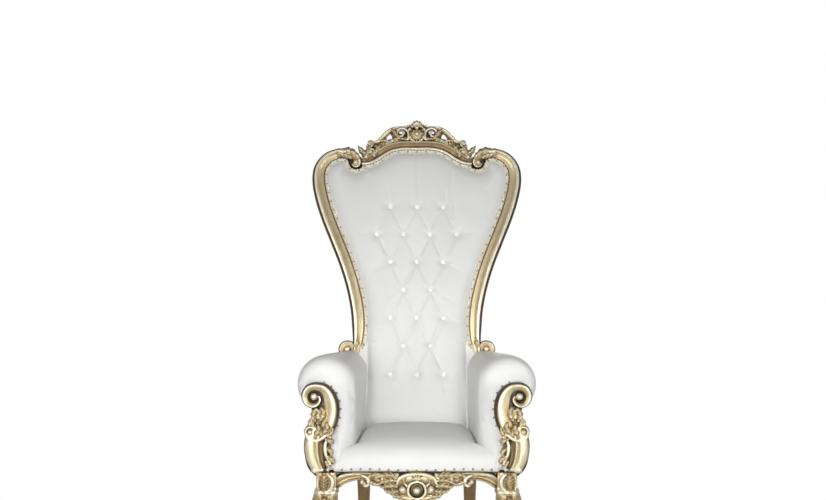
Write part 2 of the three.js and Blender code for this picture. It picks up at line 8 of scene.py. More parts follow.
import bmesh
import bpy
import numpy as np
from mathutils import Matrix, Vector
from mathutils.geometry import delaunay_2d_cdt
from mathutils.kdtree import KDTree


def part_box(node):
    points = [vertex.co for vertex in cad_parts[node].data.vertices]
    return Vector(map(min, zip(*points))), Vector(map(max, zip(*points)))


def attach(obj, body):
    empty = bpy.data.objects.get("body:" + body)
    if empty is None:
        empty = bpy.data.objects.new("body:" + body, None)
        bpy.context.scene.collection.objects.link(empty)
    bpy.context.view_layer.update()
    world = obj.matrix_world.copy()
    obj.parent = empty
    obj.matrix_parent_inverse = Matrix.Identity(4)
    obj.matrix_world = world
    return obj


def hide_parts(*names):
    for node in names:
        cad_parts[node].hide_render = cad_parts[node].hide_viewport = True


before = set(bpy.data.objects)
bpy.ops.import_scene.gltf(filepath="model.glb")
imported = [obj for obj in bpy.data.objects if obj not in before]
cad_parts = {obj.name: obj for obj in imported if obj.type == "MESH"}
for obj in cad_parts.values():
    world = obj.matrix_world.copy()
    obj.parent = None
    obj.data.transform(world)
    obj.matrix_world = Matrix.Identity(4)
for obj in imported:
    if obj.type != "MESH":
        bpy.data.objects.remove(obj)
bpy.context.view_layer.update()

MM = 0.001
ARM_FRONT = -336
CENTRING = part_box("arm_pad_right")[0][1] / MM - ARM_FRONT  # the chair's own frame, along Y
RAIL_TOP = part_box("back_rail")[1][2] / MM
LEAN = math.radians(8.5)
BACK_PIVOT = (0, 170, 550)  # front plane of the back frame, at seat height
FRAME_DEPTH = 40
POST_FRONT = -368
POST_BACK = ARM_FRONT - 0.6
TRIM_WIDTH = 14
EDGE_INSET = 1
SIDES = ("right", "left")
WHITE = (1, 1, 1, 1)


# ---------------------------------------------------------------- camera, light and floor
def new_object(name, data):
    obj = bpy.data.objects.new(name, data)
    bpy.context.collection.objects.link(obj)
    return obj


def make_camera():
    data = bpy.data.cameras.new("camera")
    data.lens = 45
    data.sensor_width = 36
    data.shift_x = -0.0046
    data.shift_y = 0.0484
    camera = new_object("camera", data)
    camera.location = (0, -4.0 + CENTRING * MM, 1.089)
    camera.rotation_euler = (math.radians(90), 0, 0)
    bpy.context.scene.camera = camera


def area_light(name, place, aim, size, power, spread=180):
    data = bpy.data.lights.new(name, "AREA")
    data.shape = "RECTANGLE"
    data.size, data.size_y = size
    data.energy = power
    data.spread = math.radians(spread)
    lamp = new_object(name, data)
    lamp.location = place
    lamp.rotation_euler = (Vector(aim) - Vector(place)).to_track_quat("-Z", "Y").to_euler()


def make_world():
    """A white backdrop from every side, round a dimmer studio that lights and is reflected in the chair."""
    world = bpy.data.worlds.new("studio")
    bpy.context.scene.world = world
    world.use_nodes = True
    tree = world.node_tree
    studio = tree.nodes["Background"]
    split = tree.nodes.new("ShaderNodeSeparateXYZ")
    tree.links.new(tree.nodes.new("ShaderNodeTexCoord").outputs["Generated"], split.inputs[0])
    height = arithmetic(tree, "MULTIPLY_ADD", split.outputs["Z"], 0.5, 0.5)
    ramp(tree, height, [(0.0, 0.58), (0.45, 0.52), (0.62, 0.38), (1.0, 0.13)], studio.inputs["Color"])
    backdrop = tree.nodes.new("ShaderNodeBackground")
    backdrop.inputs["Color"].default_value = WHITE
    path = tree.nodes.new("ShaderNodeLightPath")
    mix = tree.nodes.new("ShaderNodeMixShader")
    for i, source in enumerate((path.outputs["Is Camera Ray"], studio.outputs[0], backdrop.outputs[0])):
        tree.links.new(source, mix.inputs[i])
    tree.links.new(mix.outputs[0], tree.nodes["World Output"].inputs["Surface"])


def make_floor():
    radius, corners, drop = 1.25, 96, 0.0005
    mesh = bpy.data.meshes.new("floor")
    rim = [(radius * math.cos(a), radius * math.sin(a), -drop) for a in full_turn(corners)]
    mesh.from_pydata(rim, [], [tuple(range(corners))])
    floor = new_object("floor", mesh)
    material, _, shader = new_material("floor_paint")
    set_inputs(shader, {"Base Color": (0.95, 0.95, 0.95, 1), "Roughness": 0.6})
    mesh.materials.append(material)


def make_studio():
    make_world()
    make_floor()
    area_light("key", place=(-1.5, -3.7, 1.4), aim=(0, 0, 1.0), size=(1.7, 1.5), power=35)
    area_light("fill", place=(2.3, -3.1, 1.2), aim=(0, 0, 1.0), size=(1.2, 1.6), power=23)
    area_light("front", place=(0.1, -4.3, 0.55), aim=(0, 0, 0.75), size=(2.0, 0.9), power=11)
    area_light("behind", place=(0.6, 3.4, 1.5), aim=(0, 0, 0.8), size=(2.0, 1.6), power=16)
    area_light("pool", place=(0, -4.4, 1.15), aim=(0, 0.15, 0.68), size=(0.5, 0.4), power=1.25, spread=26)


make_camera()
bpy.context.scene.view_settings.view_transform = "Standard"


# ---------------------------------------------------------------- shapes
class Shape:
    """Closed skins in millimetres. Tone is each point's place from a dark reflection painted at an edge, 0,
    to a painted highlight, 1: it paints light and shade into the gilding.
    """

    def __init__(self, points, faces, tone):
        self.points = np.asarray(points, float).reshape(-1, 3)
        self.faces = [tuple(int(i) for i in face) for face in faces]
        self.tone = np.broadcast_to(np.asarray(tone, float), (len(self.points),)).copy()

    def placed(self, place):
        return Shape(place(self.points), self.faces, self.tone)


def merged(*shapes):
    points, faces, tones, start = [], [], [], 0
    for shape in shapes:
        points.append(shape.points)
        tones.append(shape.tone)
        faces += [tuple(i + start for i in face) for face in shape.faces]
        start += len(shape.points)
    return Shape(np.concatenate(points), faces, np.concatenate(tones))


def mirrored(shape):
    flipped = shape.points * (-1, 1, 1)
    return Shape(flipped, [face[::-1] for face in shape.faces], shape.tone)


def on_side(side, shape):
    """A shape drawn on the right, or its mirror image."""
    return mirrored(shape) if side == "left" else shape


def both_sides(shape):
    return merged(shape, mirrored(shape))


def in_back(points):
    """From the leaning back's frame to the chair's."""
    x, depth, up = points.T
    y = BACK_PIVOT[1] + depth * math.cos(LEAN) + up * math.sin(LEAN)
    z = BACK_PIVOT[2] - depth * math.sin(LEAN) + up * math.cos(LEAN)
    return np.stack([x, y, z], 1)


def smooth_line(stops, count):
    """A centripetal Catmull-Rom curve through the stops, at count + 1 even steps of its parameter."""
    stops = np.asarray(stops, float)
    knots = np.vstack([2 * stops[0] - stops[1], stops, 2 * stops[-1] - stops[-2]])
    out = []
    for t in np.linspace(0, len(stops) - 1, count + 1):
        i = min(int(t), len(stops) - 2)
        p = knots[i : i + 4]
        gaps = np.maximum(np.sqrt(np.linalg.norm(np.diff(p, axis=0), axis=1)), 1e-6)
        t0, t1, t2, t3 = np.concatenate([[0], np.cumsum(gaps)])
        at = t1 + (t - i) * (t2 - t1)
        a1 = (t1 - at) / (t1 - t0) * p[0] + (at - t0) / (t1 - t0) * p[1]
        a2 = (t2 - at) / (t2 - t1) * p[1] + (at - t1) / (t2 - t1) * p[2]
        a3 = (t3 - at) / (t3 - t2) * p[2] + (at - t2) / (t3 - t2) * p[3]
        b1 = (t2 - at) / (t2 - t0) * a1 + (at - t0) / (t2 - t0) * a2
        b2 = (t3 - at) / (t3 - t1) * a2 + (at - t1) / (t3 - t1) * a3
        out.append((t2 - at) / (t2 - t1) * b1 + (at - t1) / (t2 - t1) * b2)
    return np.array(out)


def right_of(along):
    """Unit vectors a quarter turn to the right of each direction."""
    along = along / np.linalg.norm(along, axis=1, keepdims=True)
    return np.stack([along[:, 1], -along[:, 0]], 1)


def lengths_along(line):
    """How far along a line each of its points lies."""
    return np.concatenate([[0], np.cumsum(np.linalg.norm(np.diff(line, axis=0), axis=1))])


def traced(stops, count):
    """Places, half widths and outward directions along a line in the XZ plane. Each stop is (x, z, width)."""
    stops = [(x, width, z) for x, z, width in stops]
    line = smooth_line(stops, count)
    return line[:, [0, 2]], line[:, 1] / 2, right_of(np.gradient(line[:, [0, 2]], axis=0))


def ring_faces(rows, size, start=0):
    """Four-sided faces between rings of points that lie one after the other."""
    faces = []
    for i in range(rows - 1):
        for j in range(size):
            a, b = start + i * size + j, start + i * size + (j + 1) % size
            faces.append((a, b, b + size, a + size))
    return faces


def skin(rings, tone):
    """The closed skin through a row of rings of equal size."""
    rings = np.asarray(rings, float)
    rows, size = rings.shape[:2]
    faces = ring_faces(rows, size)
    faces.append(tuple(range(size))[::-1])
    faces.append(tuple(range((rows - 1) * size, rows * size)))
    return Shape(rings.reshape(-1, 3), faces, tone)


def section(points, per_span=3):
    """A smooth profile through (side, depth, rise, tone) points, whose first and last spans stay straight."""
    middle = smooth_line(points[1:-1], per_span * (len(points) - 3))
    return np.vstack([points[0], middle, points[-1]])


def sweep(stops, profile, count):
    """A carved band along a line. In the profile, side and rise are shares of the half width."""
    places, halves, across = traced(stops, count)
    side, depth, rise, tone = np.asarray(profile, float).T
    offset = halves[:, None] * side
    x = places[:, :1] + across[:, :1] * offset
    z = places[:, 1:] + across[:, 1:] * offset
    y = depth - rise * halves[:, None]
    return skin(np.stack([x, y, z], 2), np.tile(tone, count + 1))


def rolled(front, back, rise=0.75, rim=0.35, crown=0.9):
    """A half-round profile on a flat back, with painted shade at its rims and a painted highlight on its
    crown.
    """
    turn = np.linspace(0, math.pi, 11)
    arc = [(-math.cos(a), front, rise * math.sin(a), rim + (crown - rim) * math.sin(a)) for a in turn]
    return [(-1, back, 0, 0.2), *arc, (1, back, 0, 0.2)]


def edged(front, back, rise=0.6):
    """A rounded band with a painted highlight along its ridge, and a bevel painted dark, as a dark
    reflection, along the side that its line has on its right hand.
    """
    return section([
        (-1, back, 0, 0.3), (-1, front + 3, 0, 0.35), (-0.9, front, 0.1, 0.5),
        (-0.5, front, 0.45 * rise, 0.55), (-0.1, front, 0.8 * rise, 0.7), (0.2, front, rise, 0.95),
        (0.45, front, 0.9 * rise, 0.85), (0.66, front, 0.5 * rise, 0.2), (0.85, front + 2, 0.1, 0.02),
        (1, front + 8, 0, 0), (1, back, 0, 0.1),
    ])


def acanthus(stops, front, back, lobes=4, rise=0.7, lift=0, along=30):
    """A leaf with a midrib, lobed edges and veins that slant back from the rib. Lift raises its tip."""
    places, halves, across = traced(stops, along)
    s = np.linspace(0, 1, along + 1)[:, None]
    u = np.linspace(-1, 1, 15)[None, :]
    swell = np.sin(math.pi * np.clip(s * 1.15, 0, 1)) ** 0.5
    half = halves[:, None] * (1 + 0.17 * np.cos(2 * math.pi * lobes * s) * swell)
    vein = np.cos(2 * math.pi * (lobes * s - 0.75 * np.abs(u)))
    rib = np.exp(-((u / 0.16) ** 2))
    out = np.abs(u)
    height = rise * (1 - out**1.8) + 0.16 * vein * out**0.7 * (1 - out**6) + 0.12 * rib
    x = places[:, :1] + across[:, :1] * u * half
    z = places[:, 1:] + across[:, 1:] * u * half
    y = front - height * half - lift * s**2
    top = np.stack([x, y, z], 2)
    foot = np.stack([x[:, [0, -1]], np.full((along + 1, 2), float(back)), z[:, [0, -1]]], 2)
    rings = np.concatenate([foot[:, :1], top, foot[:, 1:]], 1)
    # Painted light: a highlight painted on the midrib and the veins' ridges, and painted shade in the grooves
    # between them.
    top_tone = 0.55 + 0.3 * vein * np.abs(u) ** 0.5 + 0.25 * rib
    tone = np.concatenate([np.full((along + 1, 1), 0.2), top_tone, np.full((along + 1, 1), 0.2)], 1)
    return skin(rings, tone.ravel())


def turned(x, z, profile, back, sides=28):
    """A disc turned about an axis that faces the front. The profile is (radius, depth, tone), axis first."""
    profile = smooth_line(profile, 4 * (len(profile) - 1))
    angles = full_turn(sides)
    rim = [*profile[1:], (profile[-1][0], back, 0.1)]
    points = [(x, profile[0][1], z)]
    tones = [profile[0][2]]
    for radius, depth, tone in rim:
        points += [(x + radius * math.cos(a), depth, z + radius * math.sin(a)) for a in angles]
        tones += [tone] * sides
    faces = [(0, 1 + (j + 1) % sides, 1 + j) for j in range(sides)]
    faces += ring_faces(len(rim), sides, start=1)
    last = 1 + (len(rim) - 1) * sides
    faces.append(tuple(range(last, last + sides)))
    return Shape(points, faces, tones)


# A bead's default tone is a painted highlight.
def bead(x, y, z, radius, tone=0.95, sides=16, rows=9):
    points = [(x, y - radius, z)]
    for i in range(1, rows):
        polar = math.pi * i / rows
        for j in range(sides):
            turn = 2 * math.pi * j / sides
            ring, ahead = radius * math.sin(polar), radius * math.cos(polar)
            points.append((x + ring * math.cos(turn), y - ahead, z + ring * math.sin(turn)))
    points.append((x, y + radius, z))
    faces = [(0, 1 + (j + 1) % sides, 1 + j) for j in range(sides)]
    faces += ring_faces(rows - 1, sides, start=1)
    last = 1 + (rows - 2) * sides
    faces += [(last + j, last + (j + 1) % sides, len(points) - 1) for j in range(sides)]
    return Shape(points, faces, tone)


def beads(spots):
    return [bead(*spot) for spot in spots]


def full_turn(count):
    return np.linspace(0, 2 * math.pi, count + 1)[:-1]


def fan(x, z, radius, start, stop, ribs, front, back, bulge):
    """A scallop shell: ribs that spread from its foot between two angles, in degrees from straight up."""
    rows, columns = 10, ribs * 6
    t = np.linspace(0.08, 1, rows)[:, None]
    angle = np.radians(np.linspace(start, stop, columns + 1))[None, :]
    ripple = np.cos(2 * math.pi * ribs * (np.linspace(0, 1, columns + 1)[None, :] - 0.5 / ribs))
    reach = radius * t * (1 + 0.09 * ripple * t)
    height = bulge * np.sin(math.pi * (0.12 + 0.76 * t)) + 0.16 * bulge * ripple * t
    top = np.stack([x + reach * np.sin(angle), front - height, z + reach * np.cos(angle)], 2)
    foot = top.copy()
    foot[:, :, 1] = back
    rings = np.concatenate([top, foot[:, ::-1]], 1)
    # Painted light: a highlight painted on each rib and shade painted in the grooves, stronger towards the
    # rim.
    tone = np.concatenate([0.7 + 0.3 * ripple * t**0.5 + 0 * height, np.full_like(height, 0.2)], 1)
    return skin(rings, tone.ravel())


def spiral(x, z, outer, inner, start, turns, widths, count=14):
    """Stops on a spiral that winds in about a point. Angles are in degrees, anticlockwise from +X."""
    t = np.linspace(0, 1, count)
    radius = outer * (inner / outer) ** t
    angle = np.radians(start) + 2 * math.pi * turns * t
    width = widths[0] + (widths[1] - widths[0]) * t
    return [(x + r * math.cos(a), z + r * math.sin(a), w) for r, a, w in zip(radius, angle, width)]


# ---------------------------------------------------------------- meshes
def in_metres(shape):
    """The shape's points in Blender's frame."""
    return (shape.points + (0, CENTRING, 0)) * MM


def mesh_of(name, shape):
    mesh = bpy.data.meshes.new(name)
    mesh.from_pydata(in_metres(shape).tolist(), [], shape.faces)
    work = bmesh.new()
    work.from_mesh(mesh)
    bmesh.ops.recalc_face_normals(work, faces=work.faces)
    work.to_mesh(mesh)
    work.free()
    tone = mesh.attributes.new("tone", "FLOAT", "POINT")
    tone.data.foreach_set("value", shape.tone)
    return mesh


def evaluated(obj):
    """The object's mesh with its modifiers applied, in place of the old one."""
    graph = bpy.context.evaluated_depsgraph_get()
    mesh = bpy.data.meshes.new_from_object(obj.evaluated_get(graph))
    old = obj.data
    obj.modifiers.clear()
    obj.data = mesh
    bpy.data.meshes.remove(old)
    return mesh


def piece(name, shape, material, nodes, sharp):
    """An object from a shape. It rides on the chair and stands for the CAD nodes named."""
    obj = new_object(name, mesh_of(name, shape))
    finish_piece(obj, material, nodes, sharp)
    return obj


def finish_piece(obj, material, nodes, sharp):
    """Dresses a piece. Edges sharper than the angle, in degrees, stay sharp, and at 0 none does."""
    obj.data.materials.clear()
    obj.data.materials.append(material)
    obj.data.shade_smooth()
    if sharp:
        obj.data.set_sharp_from_angle(angle=math.radians(sharp))
    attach(obj, "root")
    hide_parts(*nodes)


def gilt_piece(name, shape, node, sharp):
    return piece(name, shape, GOLD, [node], sharp)


def carved_piece(name, shape, node, voxel, smoothing=2):
    """Overlapping skins fused into one carved surface. Its tones come from the nearest points."""
    obj = new_object(name, mesh_of(name, shape))
    remesh = obj.modifiers.new("fuse", "REMESH")
    remesh.mode = "VOXEL"
    remesh.voxel_size = voxel * MM * 1
    soften = obj.modifiers.new("soften", "SMOOTH")
    soften.factor = 0.5
    soften.iterations = smoothing
    mesh = evaluated(obj)
    tree = KDTree(len(shape.points))
    for i, point in enumerate(in_metres(shape)):
        tree.insert(point, i)
    tree.balance()
    tones = []
    for vertex in mesh.vertices:
        near = tree.find_n(vertex.co, 3)
        weights = [1 / (distance + 1e-5) for _, _, distance in near]
        tones.append(sum(shape.tone[i] * w for (_, i, _), w in zip(near, weights)) / sum(weights))
    for old in [a for a in mesh.attributes if a.name == "tone"]:
        mesh.attributes.remove(old)
    mesh.attributes.new("tone", "FLOAT", "POINT").data.foreach_set("value", tones)
    finish_piece(obj, GOLD, [node], sharp=0)


# ---------------------------------------------------------------- materials
def new_material(name):
    material = bpy.data.materials.new(name)
    material.use_nodes = True
    tree = material.node_tree
    return material, tree, tree.nodes["Principled BSDF"]


def set_inputs(node, values):
    for name, value in values.items():
        node.inputs[name].default_value = value


def texture(tree, kind, inputs, stretch=None):
    """A texture in object space: its scale is in features per metre."""
    node = tree.nodes.new(kind)
    set_inputs(node, inputs)
    place = tree.nodes.new("ShaderNodeTexCoord").outputs["Object"]
    if stretch:
        mapping = tree.nodes.new("ShaderNodeMapping")
        mapping.inputs["Scale"].default_value = stretch
        tree.links.new(place, mapping.inputs["Vector"])
        place = mapping.outputs["Vector"]
    tree.links.new(place, node.inputs["Vector"])
    return node.outputs[0]


def noise(tree, scale, detail, roughness=0.5, stretch=None):
    inputs = {"Scale": scale, "Detail": detail, "Roughness": roughness}
    return texture(tree, "ShaderNodeTexNoise", inputs, stretch)


def ramp(tree, level, stops, target):
    """Carries a level through a colour ramp to a socket. A stop's colour may be one number, for grey."""
    node = tree.nodes.new("ShaderNodeValToRGB")
    elements = node.color_ramp.elements
    while len(elements) < len(stops):
        elements.new(0.5)
    for element, (position, color) in zip(elements, stops):
        element.position = position
        element.color = (*np.broadcast_to(color, 3), 1)
    tree.links.new(level, node.inputs["Fac"])
    tree.links.new(node.outputs["Color"], target)


def arithmetic(tree, operation, *values):
    node = tree.nodes.new("ShaderNodeMath")
    node.operation = operation
    for socket, value in zip(node.inputs, values):
        if isinstance(value, float):
            socket.default_value = value
        else:
            tree.links.new(value, socket)
    return node.outputs[0]


def bump(tree, shader, layers):
    """Stacked bumps, each a (height socket, depth in metres) pair."""
    normal = None
    for height, depth in layers:
        node = tree.nodes.new("ShaderNodeBump")
        set_inputs(node, {"Strength": 1, "Distance": depth})
        tree.links.new(height, node.inputs["Height"])
        if normal:
            tree.links.new(normal, node.inputs["Normal"])
        normal = node.outputs[0]
    tree.links.new(normal, shader.inputs["Normal"])


def gilding():
    """Champagne gold over gesso, with light and shade painted into its colour: highlights painted on the
    heights, dark reflections painted at the edges, and brown painted shade in the hollows, which also stands
    for their glaze.
    """
    material, tree, shader = new_material("antique_gilding")
    tone = tree.nodes.new("ShaderNodeAttribute")
    tone.attribute_name = "tone"
    # Painted shade: ambient occlusion darkens the colour towards brown in the hollows, standing in for the
    # shade there as well as for glaze.
    shadow = tree.nodes.new("ShaderNodeAmbientOcclusion")
    shadow.inputs["Distance"].default_value = 0.014
    shadow.samples = 8
    hollow_glaze_and_shade = arithmetic(tree, "MULTIPLY", arithmetic(tree, "SUBTRACT", 1.0, shadow.outputs["AO"]), 0.55)
    patches = arithmetic(tree, "MULTIPLY_ADD", noise(tree, 35, 4), 0.22, -0.05)
    level = arithmetic(tree, "SUBTRACT", arithmetic(tree, "ADD", tone.outputs["Fac"], patches), hollow_glaze_and_shade)
    # Painted light: low tones give the painted dark reflections and shade, high tones the painted highlights.
    gold = [(0.0, (0.022, 0.018, 0.014)), (0.14, (0.10, 0.065, 0.032)), (0.34, (0.34, 0.235, 0.115)),
            (0.55, (0.57, 0.445, 0.24)), (0.76, (0.80, 0.69, 0.45)), (1.0, (0.96, 0.90, 0.72))]
    ramp(tree, level, gold, shader.inputs["Base Color"])
    ramp(tree, level, [(0.05, 0.15), (0.4, 0.72)], shader.inputs["Metallic"])
    worn = noise(tree, 130, 5, 0.6)
    ramp(tree, worn, [(0.3, 0.27), (0.7, 0.45)], shader.inputs["Roughness"])
    bump(tree, shader, [(worn, 0.0006), (noise(tree, 420, 4, 0.6), 0.00025)])
    return material


def leatherette(name, color):
    """White coated cloth with a fine pebble grain and a satin surface."""
    material, tree, shader = new_material(name)
    cloudy = tuple(c * 0.965 for c in color)
    ramp(tree, noise(tree, 9, 3), [(0.3, cloudy), (0.7, color)], shader.inputs["Base Color"])
    ramp(tree, noise(tree, 60, 2), [(0.25, 0.38), (0.75, 0.5)], shader.inputs["Roughness"])
    set_inputs(shader, {"Specular IOR Level": 0.42, "Coat Weight": 0.08, "Coat Roughness": 0.35})
    pebbles = texture(tree, "ShaderNodeTexVoronoi", {"Scale": 620})
    bump(tree, shader, [(pebbles, 0.00022), (noise(tree, 1500, 2), 0.0001)])
    return material


def gimp_cloth():
    """A cream woven braid, mottled by its threads."""
    material, tree, shader = new_material("gimp_braid")
    threads = noise(tree, 260, 3)
    cream = [(0.25, (0.55, 0.46, 0.31)), (0.45, (0.84, 0.77, 0.60)), (0.7, (0.95, 0.91, 0.80))]
    ramp(tree, threads, cream, shader.inputs["Base Color"])
    shader.inputs["Roughness"].default_value = 0.7
    bump(tree, shader, [(threads, 0.0012)])
    return material


def plain_metal(name, color, rough, metallic=1.0):
    material, tree, shader = new_material(name)
    dull = tuple(c * 0.82 for c in color)
    ramp(tree, noise(tree, 300, 3), [(0.3, dull), (0.7, color)], shader.inputs["Base Color"])
    set_inputs(shader, {"Metallic": metallic, "Roughness": rough})
    return material


def clear_crystal():
    """Cut glass. Its faint glow stands for the light that real facets gather."""
    material, _, shader = new_material("cut_crystal")
    set_inputs(shader, {"Base Color": WHITE, "Transmission Weight": 0.35, "Roughness": 0.03, "IOR": 1.5,
                        "Emission Color": WHITE, "Emission Strength": 0.14})
    return material


def plywood():
    material, tree, shader = new_material("plywood")
    grain = noise(tree, 3, 6, stretch=(5, 60, 60))
    ramp(tree, grain, [(0.3, (0.30, 0.20, 0.11)), (0.7, (0.52, 0.38, 0.23))], shader.inputs["Base Color"])
    shader.inputs["Roughness"].default_value = 0.75
    bump(tree, shader, [(grain, 0.0005)])
    return material


make_studio()
GOLD = gilding()
LEATHER = leatherette("white_leatherette", (0.87, 0.87, 0.85))
GIMP = gimp_cloth()
NAIL = plain_metal("nail_brass", (0.55, 0.45, 0.3), 0.3)
SILVER = plain_metal("silver_foil", (1, 1, 1), 0.3, 0.25)
CRYSTAL = clear_crystal()
PLYWOOD = plywood()


# ---------------------------------------------------------------- lines of the back frame
def ear_point(degrees, radius=104):
    angle = math.radians(degrees)
    return 308 + radius * math.cos(angle), 1025 + radius * math.sin(angle)


STILE_LINE = [
    (251, 276, 24), (249, 288, 29), (247, 303, 32), (242, 335, 40), (240, 390, 50), (245, 462, 53),
    (262, 550, 53), (292, 650, 53), (334, 757, 53), (371, 850, 53), (398, 935, 53), (*ear_point(-8), 53),
    (*ear_point(22), 51), (*ear_point(52), 48), (*ear_point(82), 44),
]
EAR_SCROLL = [
    (*ear_point(77), 44), (279, 1122, 40), (252, 1106, 30), (240, 1084, 19), (248, 1068, 14), (263, 1068, 12),
    (271, 1079, 10),
]
ARCH_LINE = [
    (232, 1090, 30), (206, 1094, 36), (172, 1110, 40), (139, 1132, 39), (106, 1148, 37), (60, 1157, 37),
    (0, 1157, 37),
]
STILE_FOOT = 320  # the opening leaves the stile here and runs straight down behind the arm
LOWER_BACK_HALF = 241  # half the width between the stiles' feet
BACK_FOOT = -98  # the back runs down behind the seat to here


def inner_edge(line, count):
    places, halves, across = traced(line, count)
    return places - across * halves[:, None]


def opening_half():
    """The frame's inner edge on one side, from the middle of the crest down to the back's foot."""
    arch = inner_edge(ARCH_LINE, 36)[::-1]
    stile = [p for p in inner_edge(STILE_LINE, 96)[::-1][1:] if p[1] > STILE_FOOT]
    ear = smooth_line([(232, 1060), (256, 1056), (276, 1064), (286, 1087), (299, 1102)], 12)
    foot = [(234, 309), (LOWER_BACK_HALF, 296), (LOWER_BACK_HALF, BACK_FOOT)]
    return np.array([*arch[:-1], *ear, *stile, *foot])


def opening(inset):
    """The whole opening, drawn in from the frame's edge."""
    half = opening_half()
    whole = np.vstack([half, half[1:][::-1] * (-1, 1)])
    return whole + right_of(np.roll(whole, -1, 0) - np.roll(whole, 1, 0)) * inset


# ---------------------------------------------------------------- the back frame
# Its tones paint light on the moulding: a highlight painted along the ridge and, on the outer side, a bevel
# painted dark as a dark reflection.
STILE_SECTION = [
    (-1, FRAME_DEPTH, 0, 0.3), (-1, -1, 0, 0.3), (-0.92, -4.5, 0, 0.4), (-0.78, -5.5, 0, 0.62),
    (-0.45, -6.5, 0, 0.6), (-0.15, -9, 0, 0.6), (0.12, -13, 0, 0.72), (0.3, -16, 0, 0.9),
    (0.46, -16, 0, 0.92), (0.58, -13.5, 0, 0.66), (0.66, -10.5, 0, 0.08), (0.82, -6, 0, 0.0), (1, 4, 0, 0.0),
    (1, FRAME_DEPTH, 0, 0.1),
]


def stile_shapes():
    shaft = sweep(STILE_LINE, section(STILE_SECTION), 110)
    scroll = sweep(EAR_SCROLL, edged(-6, 30, 0.8), 48)
    leaves = [
        acanthus([(312, 1136, 20), (284, 1131, 34), (256, 1118, 22), (240, 1098, 8)], -12, 20, 4, lift=4),
        acanthus([(318, 1118, 16), (292, 1112, 24), (270, 1100, 8)], -13, 20, 3, lift=3),
    ]
    pearl = turned(256, 1083, [(0, -24, 1), (6, -22, 1), (10, -12, 0.9), (12, -4, 0.1), (24, -4, 0.25)], 30)
    # the ground closes the frame behind the scroll
    ground = turned(256, 1083, [(0, 8, 0.2), (20, 8, 0.2), (36, 9, 0.1)], 32)
    volute_profile = [(0, -15, 1), (6, -14, 1), (11, -7, 0.55), (14, -3, 0.3), (22, -4, 0.8), (29, -10, 0.9),
                      (33, -9, 0.1), (37, -3, 0)]
    volute = turned(283, 300, volute_profile, 34, 40)
    foot_leaf = acanthus([(246, 352, 8), (243, 328, 20), (252, 308, 10)], -12, 20, 2, lift=3)
    carving = merged(scroll, *leaves, pearl, ground, volute, foot_leaf)
    return shaft.placed(in_back), carving.placed(in_back)


def make_stiles():
    shaft, carving = stile_shapes()
    for side in SIDES:
        node = f"back_stile_{side}"
        gilt_piece(f"{node}_moulding", on_side(side, shaft), node, sharp=35)
        carved_piece(f"{node}_scrolls", on_side(side, carving), node, voxel=1.8)


def pierced_plate(outline, holes, front, back, tone):
    """A plate with holes through it, filled in by Blender's 2D curves."""
    curve = bpy.data.curves.new("plate", "CURVE")
    curve.dimensions = "2D"
    curve.fill_mode = "BOTH"
    curve.extrude = (back - front) / 2
    for ring in [outline, *holes]:
        spline = curve.splines.new("POLY")
        spline.points.add(len(ring) - 1)
        spline.use_cyclic_u = True
        for point, (x, z) in zip(spline.points, ring):
            point.co = (x, z, 0, 1)
    holder = bpy.data.objects.new("plate", curve)
    mesh = bpy.data.meshes.new_from_object(holder)
    middle = (front + back) / 2
    points = [(v.co.x, middle - v.co.z, v.co.y) for v in mesh.vertices]
    faces = [tuple(face.vertices) for face in mesh.polygons]
    bpy.data.objects.remove(holder)
    bpy.data.meshes.remove(mesh)
    return Shape(points, faces, tone)


